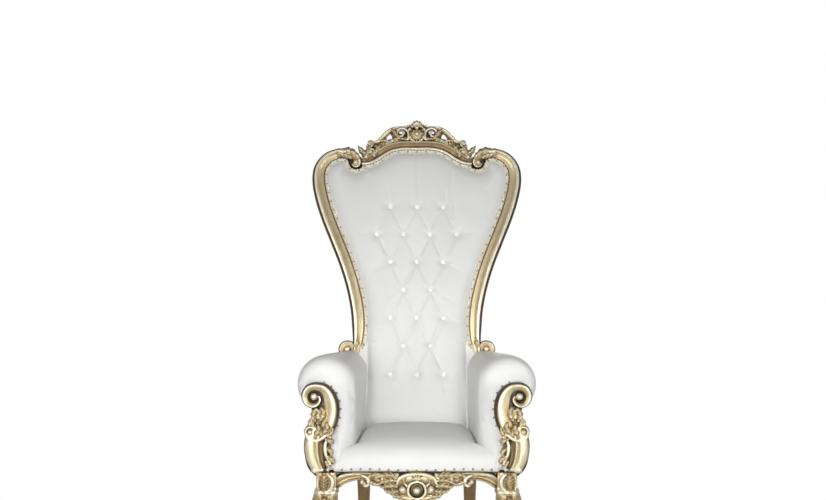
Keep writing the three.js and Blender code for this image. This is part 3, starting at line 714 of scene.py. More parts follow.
def crest_carving():
    """The scrolls and leaves on one side of the crest, over a pierced ground."""
    outline = [(-2, 1166), (-2, 1232), (70, 1236), (100, 1230), (126, 1209), (148, 1186), (186, 1170),
               (204, 1110), (142, 1141)]
    holes = [
        [(103, 1190), (117, 1186), (131, 1184), (123, 1200), (113, 1213), (106, 1203), (103, 1190)],
        [(50, 1213), (61, 1209), (73, 1212), (74, 1224), (63, 1230), (52, 1226), (50, 1213)],
    ]
    ground = pierced_plate(outline, [smooth_line(hole, 18)[:-1] for hole in holes], -1, 21, 0.3)
    top_line = [(184, 1172, 13), (166, 1174, 16), (148, 1191, 17), (124, 1216, 18), (98, 1231, 17),
                (72, 1235, 14), (52, 1236, 13), (37, 1242, 12), (25, 1245, 9), (20, 1236, 6)]
    top = sweep(top_line, edged(-6, 24, 0.7), 70)
    c_line = [(40, 1178, 7), (35, 1196, 11), (38, 1217, 12), (56, 1231, 12), (77, 1226, 12), (83, 1209, 11),
              (73, 1197, 10), (59, 1199, 9), (55, 1208, 8)]
    c_scroll = sweep(c_line, rolled(-9, 20, 0.9, 0.15, 1.0), 44)
    eye = bead(58, -14, 1206, 7)
    volute = sweep(spiral(196, 1167, 18, 5, 330, -1.35, (9, 6)), rolled(-9, 24, 0.8, 0.1, 0.85), 44)
    volute_eye = bead(195, -12, 1167, 5.5)
    leaves = [
        acanthus([(70, 1182, 8), (80, 1195, 17), (92, 1211, 18), (106, 1228, 5)], -12, 16, 3, 0.9),
        acanthus([(118, 1178, 7), (134, 1178, 14), (150, 1178, 13), (166, 1170, 5)], -7, 16, 4, 0.8),
        acanthus([(46, 1180, 6), (58, 1186, 13), (70, 1182, 5)], -9, 16, 3),
        acanthus([(34, 1180, 6), (26, 1196, 12), (28, 1216, 5)], -8, 16, 3),
        acanthus([(210, 1098, 12), (208, 1120, 24), (200, 1142, 22), (194, 1158, 6)], -10, 20, 4),
        acanthus([(204, 1108, 10), (220, 1124, 24), (236, 1140, 18), (247, 1154, 4)], -8, 20, 3, lift=6),
        acanthus([(186, 1112, 8), (172, 1128, 18), (166, 1146, 16), (176, 1160, 5)], -9, 16, 4),
        acanthus([(176, 1128, 7), (162, 1146, 14), (150, 1158, 5)], -11, 16, 3),
    ]
    low_scroll = sweep(spiral(192, 1130, 17, 5, 250, -1.2, (9, 6)), rolled(-12, 16, 0.9), 40)
    spots = [(103, -8, 1177, 8), (192, -16, 1130, 6), (214, -14, 1106, 7), (178, -13, 1112, 6),
             (30, -14, 1226, 6.5), (124, -7, 1174, 4.5), (84, -9, 1180, 5), (42, -10, 1184, 4.5)]
    return merged(ground, top, c_scroll, eye, volute, volute_eye, low_scroll, *leaves, *beads(spots))


def crest_centre():
    """A scallop shell over a round flower, with a fringe of beads below."""
    flower = 1202  # the height of its middle
    shell = fan(0, 1236, 25, -112, 112, 7, -16, 20, 18)
    # A brighter painted highlight on the shell.
    shell.tone = np.clip(shell.tone * 1.2, 0, 1)
    lip = bead(0, -24, 1230, 9, 0.8)
    heart_profile = [(0, -34, 1), (6, -33, 1), (9, -27, 0.6), (12, -24, 0.7), (20, -17, 0.8), (24, -8, 0.3)]
    heart = turned(0, flower, heart_profile, 20)
    petals = []
    for angle in np.radians(np.arange(0, 360, 36)):
        side, up = math.sin(angle), math.cos(angle)
        stops = [(side * reach, flower + up * reach, width) for reach, width in ((8, 7), (17, 13), (26, 4))]
        petals.append(acanthus(stops, -18, 18, 1, 0.8, along=14))
    turns = np.radians(np.arange(108, 253, 24))
    fringe = beads([(30 * math.sin(a), -12, flower + 30 * math.cos(a), 5) for a in turns])
    wing_line = [(36, 1212, 6), (30, 1196, 10), (20, 1180, 10), (6, 1170, 7)]
    wing = sweep(wing_line, rolled(-10, 18, 0.8, 0.1, 0.8), 24)
    return merged(shell, lip, heart, both_sides(wing), *petals, *fringe)


# Its tones paint light on the moulding: highlights painted on the beads along its inner edge and on its
# ridge, and painted shade in the channels and along its top edge.
ARCH_SECTION = [
    (-1, 34, 0, 0.3), (-1, -2, 0, 0.7), (-0.93, -6.5, 0, 1.0), (-0.8, -7, 0, 1.0), (-0.72, -4.5, 0, 0.2),
    (-0.66, -6.5, 0, 0.95), (-0.55, -6.5, 0, 0.9), (-0.46, -3.5, 0, 0.25), (-0.1, -2.5, 0, 0.27),
    (0.3, -5, 0, 0.31), (0.6, -9.5, 0, 0.46), (0.8, -12.5, 0, 0.75), (0.92, -11, 0, 0.45), (1, -5, 0, 0.15),
    (1, 34, 0, 0.1),
]


def make_crest():
    arch = both_sides(sweep(ARCH_LINE, section(ARCH_SECTION), 60))
    gilt_piece("crest_moulding", arch.placed(in_back), "crest_rail", sharp=35)
    carving = merged(both_sides(crest_carving()), crest_centre())
    carved_piece("crest_carving", carving.placed(in_back), "crest_rail", voxel=1.5)


make_stiles()
make_crest()


# ---------------------------------------------------------------- arm posts
def mirror_section(profile):
    """The same profile with its two sides changed over."""
    turned_over = np.asarray(profile, float)[::-1].copy()
    turned_over[:, 0] *= -1
    return turned_over


def lower_band(front, back):
    """Smooth from the outer edge to a ridge, with a channel on its inner side. Its tones paint highlights on
    the ridges and a dark reflection along the inner edge.
    """
    return section([
        (1, back, 0, 0.2), (1, front + 2, 0, 0.3), (0.66, front, 0.12, 0.38), (0.52, front, 0.36, 0.6),
        (0.4, front, 0.4, 0.85), (0.25, front, 0.3, 0.55), (0.0, front, 0.45, 0.75),
        (-0.4, front, 0.46, 0.85), (-0.8, front, 0.28, 0.6), (-0.9, front, 0.1, 0.15),
        (-1, front + 6, 0, 0.0), (-1, back, 0, 0.05),
    ])


def flat_band(front, back, foot_tone, tone):
    return [(-1, back, 0, foot_tone), (-1, front, 0, tone), (1, front, 0, tone), (1, back, 0, foot_tone)]


POST_SHAFT = [(326, 584, 44), (307, 620, 52), (299, 665, 52), (303, 702, 48), (315, 729, 39), (335, 746, 31),
              (358, 750, 26)]
POST_SCROLL = [(338, 747, 30), (360, 750, 27), (384, 741, 26), (396, 716, 24), (388, 691, 20), (368, 680, 17),
               (350, 686, 14), (341, 701, 12), (345, 716, 9)]


def arm_post_carving():
    front, back = POST_FRONT, POST_BACK
    core_line = [(330, 452, 64), (350, 480, 76), (356, 530, 80), (348, 580, 84), (332, 625, 84),
                 (326, 670, 90), (336, 712, 70)]
    core = sweep(core_line, flat_band(front + 7, back, 0.1, 0.3), 40)
    shaft = sweep(POST_SHAFT, mirror_section(edged(front, back, 0.42)), 60)
    curl = sweep(POST_SCROLL, mirror_section(edged(front, back, 0.6)), 70)
    eye_profile = [(0, front - 17, 1), (7, front - 15, 1), (12, front - 6, 0.9), (14, front + 2, 0.05),
                   (32, front + 8, 0.15)]
    eye = turned(361, 714, eye_profile, back)
    lower_line = [(344, 602, 56), (362, 566, 64), (364, 520, 66), (355, 480, 58), (339, 452, 44)]
    lower = sweep(lower_line, lower_band(front, back), 60)
    cuff_line = [(392, 580, 8), (376, 564, 13), (352, 560, 14), (330, 570, 12), (314, 584, 7)]
    cuff = sweep(cuff_line, rolled(front - 9, back, 0.75, 0.15, 0.9), 40)
    ground_line = [(308, 576, 16), (317, 540, 24), (313, 506, 24), (306, 474, 18)]
    ground = sweep(ground_line, flat_band(front + 3, back, 0.2, 0.42), 20)
    inner_line = [(302, 572, 7), (316, 560, 11), (323, 536, 13), (319, 508, 12), (308, 486, 9), (302, 474, 6)]
    inner = sweep(inner_line, rolled(front - 2, back, 0.8, 0.3, 1.0), 44)
    leaves = [  # the inner edge's, and then the waist's
        acanthus([(324, 566, 7), (312, 562, 15), (300, 551, 14), (301, 541, 4)], front - 5, back, 3),
        acanthus([(321, 534, 7), (310, 528, 14), (301, 516, 13), (303, 506, 4)], front - 4, back, 3),
        acanthus([(317, 506, 7), (306, 498, 14), (294, 486, 12), (292, 476, 4)], front - 4, back, 3),
        acanthus([(322, 488, 7), (314, 474, 15), (302, 462, 5)], front - 4, back, 3),
        acanthus([(362, 572, 8), (352, 586, 21), (343, 601, 20), (348, 615, 5)], front - 12, back, 3, lift=4),
        acanthus([(338, 576, 8), (325, 590, 21), (314, 606, 20), (318, 624, 5)], front - 10, back, 3, lift=4),
        acanthus([(316, 574, 6), (304, 582, 14), (296, 596, 12), (298, 606, 4)], front - 8, back, 3),
        acanthus([(354, 626, 7), (364, 642, 18), (360, 661, 18), (349, 674, 5)], front - 7, back, 4),
        acanthus([(340, 628, 7), (330, 646, 18), (328, 664, 17), (338, 678, 5)], front - 9, back, 4),
        acanthus([(374, 604, 7), (378, 620, 13), (372, 636, 5)], front - 4, back, 3),
        acanthus([(350, 598, 8), (364, 612, 18), (370, 630, 15), (364, 646, 5)], front - 5, back, 3),
    ]
    volute_profile = [(0, front - 23, 1), (5, front - 21, 1), (8, front - 15, 0.7), (10, front - 9, 0.1),
                      (13, front - 12, 0.6), (17, front - 14, 0.95), (21, front - 9, 0.4), (23, front, 0.05)]
    volute = turned(374, 591, volute_profile, back)
    spots = [(359, front - 2, 456, 12), (346, front - 8, 650, 6), (345, front - 8, 664, 5),
             (334, front - 6, 458, 8), (312, front - 6, 458, 7)]
    return merged(core, shaft, curl, eye, lower, cuff, ground, inner, volute, *leaves, *beads(spots))


def make_arm_posts():
    places, halves, across = traced(POST_SHAFT, 60)
    leather_edge = places - across * (halves[:, None] + 2.5)
    nails = nail_row(leather_edge, first=12, pitch=30, depth=ARM_FRONT - 0.5, radius=4.2, rise=3.4)
    for side in SIDES:
        piece(f"arm_nails_{side}", on_side(side, nails), NAIL, [f"arm_pad_{side}"], sharp=0)
    carving = arm_post_carving()
    for side in SIDES:
        carved_piece(f"arm_post_{side}", on_side(side, carving), f"arm_post_{side}", voxel=1.6, smoothing=1)


# ---------------------------------------------------------------- legs
LEG_BLOCK = {"x": 318, "y": -340, "half": 35, "bottom": 376}
KNEE_LEAVES = ((0, 0, 150, 30), (-24, 10, 112, 24), (24, 10, 112, 24), (-40, 30, 80, 16), (40, 30, 80, 16))
LEG_FRONT = [(140, -364), (210, -372), (280, -389), (335, -397), (372, -386)]  # (height, y of its front)


def limb(stops, count, sides=28, square=2.6, tone=0.7):
    """A limb through level rings with rounded corners. Each stop is (z, x, y, half width, half depth)."""
    stops = np.asarray(stops, float)
    line = smooth_line(stops, count)
    angles = full_turn(sides)
    u = np.sign(np.cos(angles)) * np.abs(np.cos(angles)) ** (2 / square)
    v = np.sign(np.sin(angles)) * np.abs(np.sin(angles)) ** (2 / square)
    rings = [np.stack([x + u * w, y + v * d, np.full(sides, z)], 1) for z, x, y, w, d in line]
    return skin(rings, tone)


def box_shape(low, high, tone, bevel=2.0):
    (x0, y0, z0), (x1, y1, z1) = low, high
    rings = []
    for z, inset in ((z0, bevel), (z0 + bevel, 0), (z1 - bevel, 0), (z1, bevel)):
        a, b, c, d = x0 + inset, x1 - inset, y0 + inset, y1 - inset
        rings.append([(a, c, z), (b, c, z), (b, d, z), (a, d, z)])
    return skin(rings, tone)


def leg_wrapped(leaf):
    """Bends a flat leaf back round the front of the leg's knee."""
    heights, fronts = zip(*LEG_FRONT)
    points = leaf.points.copy()
    surface = np.interp(points[:, 2], heights, fronts)
    aside = np.clip(np.abs(points[:, 0] - 323) / 46, 0, 0.97)
    points[:, 1] += surface + 44 * (1 - np.sqrt(1 - aside**2))
    return Shape(points, leaf.faces, leaf.tone)


def front_leg_carving():
    x, y, half, bottom = LEG_BLOCK.values()
    face, top = y - half, RAIL_TOP
    shaft = limb([
        (0, 332, -366, 25, 28), (14, 332, -368, 31, 34), (40, 329, -362, 27, 31), (80, 320, -350, 20, 23),
        (140, 313, -340, 22, 24), (210, 314, -341, 31, 32), (280, 321, -348, 42, 42),
        (335, 325, -352, 47, 46), (bottom - 4, 322, -346, 42, 41),
    ], 60, tone=0.52)
    block = box_shape((x - half, y - half, bottom - 6), (x + half, y + half, top + 1), 0.3)
    panel_line = [(x + 10, bottom + 4, 14), (x + 9, bottom + 30, 30), (x + 8, top - 8, 18)]
    panel = acanthus(panel_line, face - 1, face + 8, 6, 0.35, along=40)
    panel.tone *= 0.55
    right_line = [(x - 6, bottom + 6, 9), (x - 20, bottom + 22, 13), (x - 20, bottom + 48, 13),
                  (x - 6, top - 6, 9)]
    right_scroll = sweep(right_line, rolled(face - 2, face + 10, 0.7, 0.5, 1.0), 24)
    left_line = [(x + 28, bottom + 6, 6), (x + 31, bottom + 34, 7), (x + 27, top - 6, 6)]
    left_scroll = sweep(left_line, rolled(face - 1, face + 10, 0.7, 0.4, 0.8), 16)
    band_stops = [(bottom + dz, x, y, half + out, half + out) for dz, out in ((-10, 2), (-2, 6), (6, 2))]
    band = limb(band_stops, 10, square=6)
    collar = beads([(x + dx, face + 2, bottom + 2, 11.5) for dx in (-25, -1, 23)])
    collar += beads([(x + half - 2, y + dy, bottom + 2, 12) for dy in (-16, 12)])
    knee = []
    for dx, drop, length, width in KNEE_LEAVES:
        start = bottom - 12 - drop
        stops = [(x + 6 + dx * 0.6, start, width * 0.6), (x + 6 + dx, start - length * 0.35, width),
                 (x + 4 + dx * 0.8, start - length * 0.7, width * 0.7), (x + 2 + dx * 0.5, start - length, 5)]
        leaf = leg_wrapped(acanthus(stops, 0, 12, 5, 0.42))
        leaf.tone *= 0.42
        knee.append(leaf)
    curl_profile = [(0, -411, 1), (8, -409, 1), (12, -402, 0.4), (15, -402, 0.7), (22, -398, 0.6),
                    (24, -392, 0.2)]
    toe = [turned(332, 26, curl_profile, -360, 32)]
    for dx in (-14, 0, 14):
        toe_line = [(332 + dx * 0.4, 96, 6), (332 + dx, 70, 15), (332 + dx, 46, 12)]
        toe.append(acanthus(toe_line, -394, -350, 3, 0.5))
    return merged(shaft, block, panel, right_scroll, left_scroll, band, *collar, *knee, *toe)


def make_legs():
    carving = front_leg_carving()
    rear_stops = [(0, 224, 336, 19, 19), (110, 221, 302, 21, 21), (230, 218, 256, 24, 23),
                  (340, 216, 210, 27, 24), (RAIL_TOP + 1, 216, 178, 28, 24)]
    # The rear legs' low tone is painted shade, for the shadow they stand in under the seat.
    rear = limb(rear_stops, 50, square=5, tone=0.28)
    for side in SIDES:
        carved_piece(f"front_leg_{side}", on_side(side, carving), f"front_leg_{side}", voxel=1.9)
        gilt_piece(f"back_leg_{side}", on_side(side, rear), f"back_leg_{side}", sharp=60)


# ---------------------------------------------------------------- seat rails
RAIL_FOOT = 385  # of the side and back rails
CARVING_BACK = -330  # the front rail's carving runs back into the rail to here


def front_rail_shape():
    """A band whose top and bottom edges follow the apron's curves. Each edge stop is (x, top, bottom)."""
    edges = [(0, 446, 330), (58, 438, 346), (92, 440, 366), (128, 444, 392), (164, 446, 412), (200, 447, 417),
             (232, 446, 412), (262, 441, 398), (282.4, 432, 380)]
    half = smooth_line(edges, 60)
    whole = np.vstack([half[1:][::-1] * (-1, 1, 1), half])
    # Its tones paint a highlight on each of its two beads and a dark reflection along its top edge.
    profile = section([
        (0, -318, 0, 0.5), (0.0, -351, 0, 0.5), (0.06, -357, 0, 0.6), (0.16, -360, 0, 0.85),
        (0.26, -356, 0, 0.45), (0.45, -354, 0, 0.5), (0.7, -358, 0, 0.65), (0.85, -361, 0, 0.95),
        (0.95, -358, 0, 0.35), (1, -354, 0, 0.1), (1, -318, 0, 0.1),
    ])
    rings = [[(x, depth, low + share * (top - low)) for share, depth, _, _ in profile]
             for x, top, low in whole]
    return skin(rings, np.tile(profile[:, 3], len(whole)))


def front_rail_carving():
    back = CARVING_BACK
    arch_line = [(70, 404, 10), (60, 424, 14), (34, 436, 15), (0, 440, 15)]
    arch = sweep(arch_line, rolled(-362, back, 0.7, 0.2, 0.9), 36)
    ring_line = [(0, 414, 9), (18, 408, 10), (29, 394, 10), (30, 374, 10), (18, 358, 9), (0, 352, 9)]
    ring = sweep(ring_line, rolled(-365, back, 0.9, 0.2, 1.0), 44)
    volute = sweep(spiral(50, 388, 20, 5, 100, 1.2, (11, 6)), rolled(-361, back, 0.8, 0.2, 0.9), 44)
    leaves = [
        acanthus([(66, 430, 8), (92, 436, 19), (122, 434, 16), (150, 424, 5)], -360, back, 5),
        acanthus([(70, 416, 8), (96, 419, 21), (122, 412, 16), (142, 400, 5)], -362, back, 5),
        acanthus([(66, 396, 8), (90, 400, 20), (112, 396, 14), (128, 392, 5)], -363, back, 4),
        acanthus([(64, 382, 8), (82, 378, 20), (100, 378, 14), (116, 384, 5)], -362, back, 4),
        acanthus([(44, 366, 7), (60, 360, 17), (78, 362, 13), (92, 370, 5)], -360, back, 3),
        acanthus([(24, 348, 6), (42, 344, 16), (58, 350, 12), (70, 356, 4)], -358, back, 3),
        acanthus([(182, 424, 7), (166, 432, 15), (146, 438, 14), (130, 440, 5)], -360, back, 4),
        acanthus([(178, 414, 7), (160, 410, 16), (146, 404, 13), (136, 398, 4)], -361, back, 4),
        acanthus([(36, 434, 7), (46, 422, 14), (44, 408, 5)], -364, back, 3),
        acanthus([(262, 428, 6), (240, 436, 13), (214, 438, 11), (196, 436, 4)], -357, back, 3, 0.45),
    ]
    curl_line = [(196, 434, 7), (182, 430, 12), (170, 418, 14), (172, 402, 12), (184, 398, 9), (190, 408, 7)]
    cross_curl = sweep(curl_line, rolled(-359, back, 0.8, 0.3, 1.0), 40)
    spots = [(50, -372, 388, 11), (193, -356, 411, 8), (184, -364, 407, 5), (68, -362, 438, 6),
             (122, -360, 422, 5)]
    half = merged(arch, ring, volute, cross_curl, *leaves, *beads(spots))
    jewel_profile = [(0, -381, 1), (7, -379, 1), (13, -371, 0.9), (16, -362, 0.2), (20, -361, 0.6),
                     (24, -356, 0.1)]
    jewel = turned(0, 383, jewel_profile, back, 32)
    tips = []
    for dx, front in ((-12, -357), (12, -357), (0, -360)):
        tip_line = [(dx * 0.3, 354, 10), (dx, 342, 18), (dx * 1.6, 328, 14), (dx * 2, 317, 4)]
        tips.append(acanthus(tip_line, front, back, 3))
    crown = fan(0, 418, 21, -70, 70, 5, -372, -340, 9)
    return merged(both_sides(half), jewel, crown, *tips)


def side_rail_shape():
    """A rail that bows in towards the rear. Each station is (y, x, how far its foot is raised)."""
    stations = [(-304, 331, 0), (-180, 326, 14), (-20, 300, 18), (110, 268, 12), (150, 254, 0)]
    top = RAIL_TOP
    rings, tones = [], []
    for y, x, raised in smooth_line(stations, 50):
        low = RAIL_FOOT + 0.6 * raised
        # Its tones paint highlights on the rounded top edge and on the bead near the foot.
        profile = section([
            (-14, top, 0, 0.3), (8, top, 0, 0.6), (13, top - 3, 0, 0.9), (18, top - 12, 0, 0.8),
            (14, top - 20, 0, 0.3), (13, (top + low) / 2, 0, 0.5), (14, low + 16, 0, 0.5),
            (18, low + 9, 0, 0.95), (15, low + 2, 0, 0.5), (8, low, 0, 0.3), (-14, low, 0, 0.2),
        ])
        rings.append([(x + dx, y, z) for dx, z, _, _ in profile])
        tones.append(profile[:, 3])
    return skin(rings, np.concatenate(tones))


def back_rail_shape():
    # Its tones paint a highlight on each of its two beads.
    profile = section([
        (0, 168, 0, 0.4), (0, 190, 0, 0.4), (0.05, 196, 0, 0.8), (0.14, 195, 0, 0.9), (0.2, 191, 0, 0.3),
        (0.8, 191, 0, 0.5), (0.86, 195, 0, 0.9), (0.95, 196, 0, 0.8), (1, 190, 0, 0.4), (1, 168, 0, 0.4),
    ])
    stations = (-187, -60, 60, 187)
    rise = RAIL_TOP - RAIL_FOOT
    rings = [[(x, depth, RAIL_FOOT + share * rise) for share, depth, _, _ in profile] for x in stations]
    return skin(rings, np.tile(profile[:, 3], len(stations)))


def make_rails():
    gilt_piece("front_rail_moulding", front_rail_shape(), "front_rail", sharp=40)
    carved_piece("front_rail_carving", front_rail_carving(), "front_rail", voxel=1.6, smoothing=1)
    for side in SIDES:
        gilt_piece(f"side_rail_{side}", on_side(side, side_rail_shape()), f"side_rail_{side}", sharp=40)
    gilt_piece("back_rail", back_rail_shape(), "back_rail", sharp=40)


# ---------------------------------------------------------------- the tufted back
TUFT = {"across": 109, "row_pitch": 115.7, "top": 890}
TUFT_ROWS = [3, 4, 3, 2, 3, 2, 3]  # buttons in each row, from the top
ARM_LINE = 330  # below this height the arms hem the padding in
SWELL_BETWEEN_ARMS = 200
CUSHION_CROWN = 36  # how far the padding stands out
CUSHION_REAR = 18  # the depth of its flat back
BRAID_PITCH = 13
TRIM_FOOT = 302  # the trim ends here, on either side, behind the arms
# each ring of a crystal is (radius, rise, turn in facets), from its table down
CRYSTAL_RINGS = ((5.0, 13.6, 0), (7.6, 11.4, 0.5), (8.6, 8.6, 0), (7.6, 6.0, 0.5), (3, 2.0, 0))
TRIM_LAP = TRIM_WIDTH * 0.35  # the panel runs out under the trim to here
TRIM_INNER = TRIM_WIDTH * 0.9  # the padding begins to rise here
BUTTONS = [
    ((i - (count - 1) / 2) * TUFT["across"], TUFT["top"] - row * TUFT["row_pitch"])
    for row, count in enumerate(TUFT_ROWS)
    for i in range(count)
]


def from_line(x, z, start, end):
    """Distance from each point to a line, and the nearest place along it, from 0 to 1."""
    (ax, az), (bx, bz) = start, end
    dx, dz = bx - ax, bz - az
    share = np.clip(((x - ax) * dx + (z - az) * dz) / max(dx * dx + dz * dz, 1e-9), 0, 1)
    return np.hypot(x - ax - share * dx, z - az - share * dz), share


def from_outline(x, z, outline):
    """Distance from each point to the nearest side of a closed outline."""
    best = np.full(x.shape, 1e9)
    for start, end in zip(outline, np.roll(outline, -1, 0)):
        best = np.minimum(best, from_line(x, z, start, end)[0])
    return best


def folds():
    """Creases in the padding: (from, to, depth at the start, depth at the end, half width)."""
    half, pitch, top = TUFT["across"] / 2, TUFT["row_pitch"], TUFT["top"]
    out = []
    for ax, az in BUTTONS:
        for bx, bz in BUTTONS:
            if abs(abs(ax - bx) - half) < 1 and abs(az - bz - pitch) < 1:
                out.append(((ax, az), (bx, bz), 9.5, 9.5, 8.5))
    for (x, z), reach in zip(BUTTONS[: TUFT_ROWS[0]], (105, 80, 110)):
        out.append(((x - 4, z), (x - 15, z + reach), 8.5, 0.0, 8.0))
        out.append(((x + 5, z), (x + 12, z + reach * 0.8), 9.0, 0.0, 7.0))
        out.append(((x, z), (x + 4, z - 34), 4.0, 0.0, 7.0))
    out.append(((142, top - 45), (142, top + 155), 8.0, 3.0, 9.0))
    out.append(((-112, top), (-190, top + 60), 3.0, 0.0, 10.0))
    for x, z in BUTTONS:
        row, outer = round((top - z) / pitch), abs(x) > 100
        if row == len(TUFT_ROWS) - 1:
            out.append(((x, z), (x * 1.05, z - 95), 6.0, 0.5, 8.0))
        if row == 1 and outer:
            out.append(((x, z), (x * 1.5, z + 4), 5.0, 0.0, 6.0))
            out.append(((x, z), (x * 1.15, z + 70), 4.0, 0.0, 8.0))
        if row == 2 and outer:
            out.append(((x, z), (x * 1.75, z - 48), 5.5, 0.0, 7.0))
        if row == 3:
            out.append(((x, z), (x * 3.1, z - 60), 4.0, 0.0, 8.0))
        if row == 4 and outer:
            out.append(((x, z), (x * 1.7, z - 30), 5.0, 0.0, 7.0))
    out.append(((0, top + 22), (0, 1180), 2.6, 3.4, 3.0))
    return out


def padding_depth(x, z):
    """The depth of the padding's surface, which is less than 0 in front of the frame's plane."""
    inside = from_outline(x, z, opening(TRIM_INNER))
    beside_arm = np.where(z < ARM_LINE, SWELL_BETWEEN_ARMS - np.abs(x), 1e9)
    inside = np.clip(np.minimum(inside, beside_arm), 0, None)
    height = CUSHION_CROWN * (1 - np.exp(-inside / 24))
    dip = np.zeros_like(x)
    for place, end, start, stop, width in folds():
        away, share = from_line(x, z, place, end)
        near_ends = 0.6 + 0.4 * np.abs(2 * share - 1) if start == stop else 1
        depth = (start + (stop - start) * share) * near_ends
        dip = np.maximum(dip, depth * np.exp(-(np.sqrt(away**2 + 4) - 2) / width))
    for bx, bz in BUTTONS:  # a narrow pit in a wider dish
        away = np.hypot(x - bx, z - bz)
        dip = np.maximum(dip, 11 * np.exp(-((away / 13) ** 1.5)) + 10 * np.exp(-((away / 27) ** 2)))
    fade = np.clip(inside / 25, 0, 1)
    wrinkles = 0.7 * np.sin(x / 41 + 2 * np.sin(z / 97)) * np.sin(z / 83 + x / 151)
    return -0.4 - (height - (dip + wrinkles) * fade)


def filled(outline, spacing, depth_at, back, tone=0.5):
    """A panel inside an outline: a fine front surface, with straight sides and a flat back."""
    low, high = outline.min(0), outline.max(0)
    columns = np.arange(low[0] + spacing / 2, high[0], spacing)
    rows = np.arange(low[1] + spacing / 2, high[1], spacing * 0.87)
    grid = np.array([(x + (i % 2) * spacing / 2, z) for i, z in enumerate(rows) for x in columns])
    grid = grid[inside_outline(grid, outline)]
    grid = grid[from_outline(*grid.T, outline) > spacing * 0.6]
    count = len(outline)
    points = [Vector(p) for p in outline] + [Vector(p) for p in grid]
    edges = [(i, (i + 1) % count) for i in range(count)]
    flat, _, faces, *_ = delaunay_2d_cdt(points, edges, [], 1, 1e-4)
    flat = np.array([(v.x, v.y) for v in flat])
    front = np.stack([flat[:, 0], depth_at(flat[:, 0], flat[:, 1]), flat[:, 1]], 1)
    ring = np.stack([outline[:, 0], np.full(count, float(back)), outline[:, 1]], 1)
    start = len(front)
    sides = [(i, (i + 1) % count, start + (i + 1) % count, start + i) for i in range(count)]
    rear = [tuple(range(start, start + count))]
    return Shape(np.vstack([front, ring]), [*faces, *sides, *rear], tone)


def inside_outline(points, outline):
    x, z = points.T
    inside = np.zeros(len(points), bool)
    for (ax, az), (bx, bz) in zip(outline, np.roll(outline, -1, 0)):
        if az == bz:
            continue
        crosses = (az > z) != (bz > z)
        inside ^= crosses & (x < (bx - ax) * (z - az) / (bz - az) + ax)
    return inside


def resampled(outline, step):
    """Even steps round a closed outline."""
    closed = np.vstack([outline, outline[:1]])
    lengths = lengths_along(closed)
    places = np.linspace(0, lengths[-1], int(lengths[-1] / step) + 1)[:-1]
    return np.stack([np.interp(places, lengths, closed[:, i]) for i in (0, 1)], 1)


def make_inside_back():
    edge = resampled(opening(TRIM_LAP), 5)
    panel = filled(edge, 3.8, padding_depth, CUSHION_REAR)
    back = piece("inside_back", panel.placed(in_back), LEATHER, ["inside_back"], sharp=70)


def make_outside_back():
    edge = resampled(opening(-EDGE_INSET), 8)  # tucked in under the frame

    def depth_at(x, z):
        inside = from_outline(x, z, edge)
        return 33 + 5 * (1 - np.exp(-inside / 30)) - 1.5 * np.exp(-((inside / 6) ** 2))

    panel = filled(edge, 16, depth_at, CUSHION_REAR + 0.6)
    cover = piece("outside_back", panel.placed(in_back), LEATHER, ["outside_back"], sharp=60)


def braid(line, depth, rise):
    """A scalloped braid that follows a line: a cord along each edge and a row of loops between."""
    across = right_of(np.gradient(line, axis=0))
    wave = np.sin(lengths_along(line) * 2 * math.pi / BRAID_PITCH)
    profile = [(-1, 0), (-0.9, 0.55), (-0.7, 0.95), (-0.45, 0.7), (-0.15, 0.8), (0.15, 0.8), (0.45, 0.7),
               (0.7, 0.95), (0.9, 0.55), (1, 0)]
    rings = []
    for (x, z), (dx, dz), swing in zip(line, across, wave):
        reach, bulge = TRIM_WIDTH / 2 * (1.02 + 0.2 * swing), 1 + 0.3 * swing
        rings.append([(x + dx * u * reach, depth - rise * h * bulge, z + dz * u * reach) for u, h in profile])
    return skin(rings, 0.5)


def trim_line(step):
    """The middle of the trim, from the arm on one side up and over to the arm on the other."""
    ring = resampled(opening(TRIM_WIDTH / 2 + EDGE_INSET * 0.5), step)
    start = int(np.argmin(ring[:, 1] + 0.001 * ring[:, 0]))
    ring = np.roll(ring, -start, 0)
    keep = ring[:, 1] > TRIM_FOOT
    first = int(np.argmax(keep & np.roll(~keep, 1)))
    return np.roll(ring, -first, 0)[np.roll(keep, -first)]


def nail_row(line, first, pitch, depth, radius, rise, clear=0):
    """Nails at even steps along a line, down to a clear length at its end."""
    lengths = lengths_along(line)
    stops = np.arange(first, lengths[-1] - clear, pitch)
    places = [(np.interp(s, lengths, line[:, 0]), depth, np.interp(s, lengths, line[:, 1])) for s in stops]
    return nail_heads(places, radius, rise)


def nail_heads(places, radius, rise):
    """Domed nails on the XZ plane. Each place is (x, depth, z)."""
    out = []
    for x, depth, z in places:
        profile = [(0, depth - rise, 1), (radius * 0.5, depth - rise * 0.85, 1),
                   (radius * 0.85, depth - rise * 0.45, 0.7), (radius, depth, 0.3)]
        out.append(turned(x, z, profile, depth + 1, 10))
    return merged(*out)


def make_trim():
    line = trim_line(2.2)
    strip = braid(line, depth=-0.6, rise=7.0)
    piece("gimp_braid", strip.placed(in_back), GIMP, ["back_trim"], sharp=60)
    nails = nail_row(line, first=20, pitch=39, depth=-6.0, radius=4.6, rise=3.2, clear=10)
    piece("back_nails", nails.placed(in_back), NAIL, ["back_trim"], sharp=0)


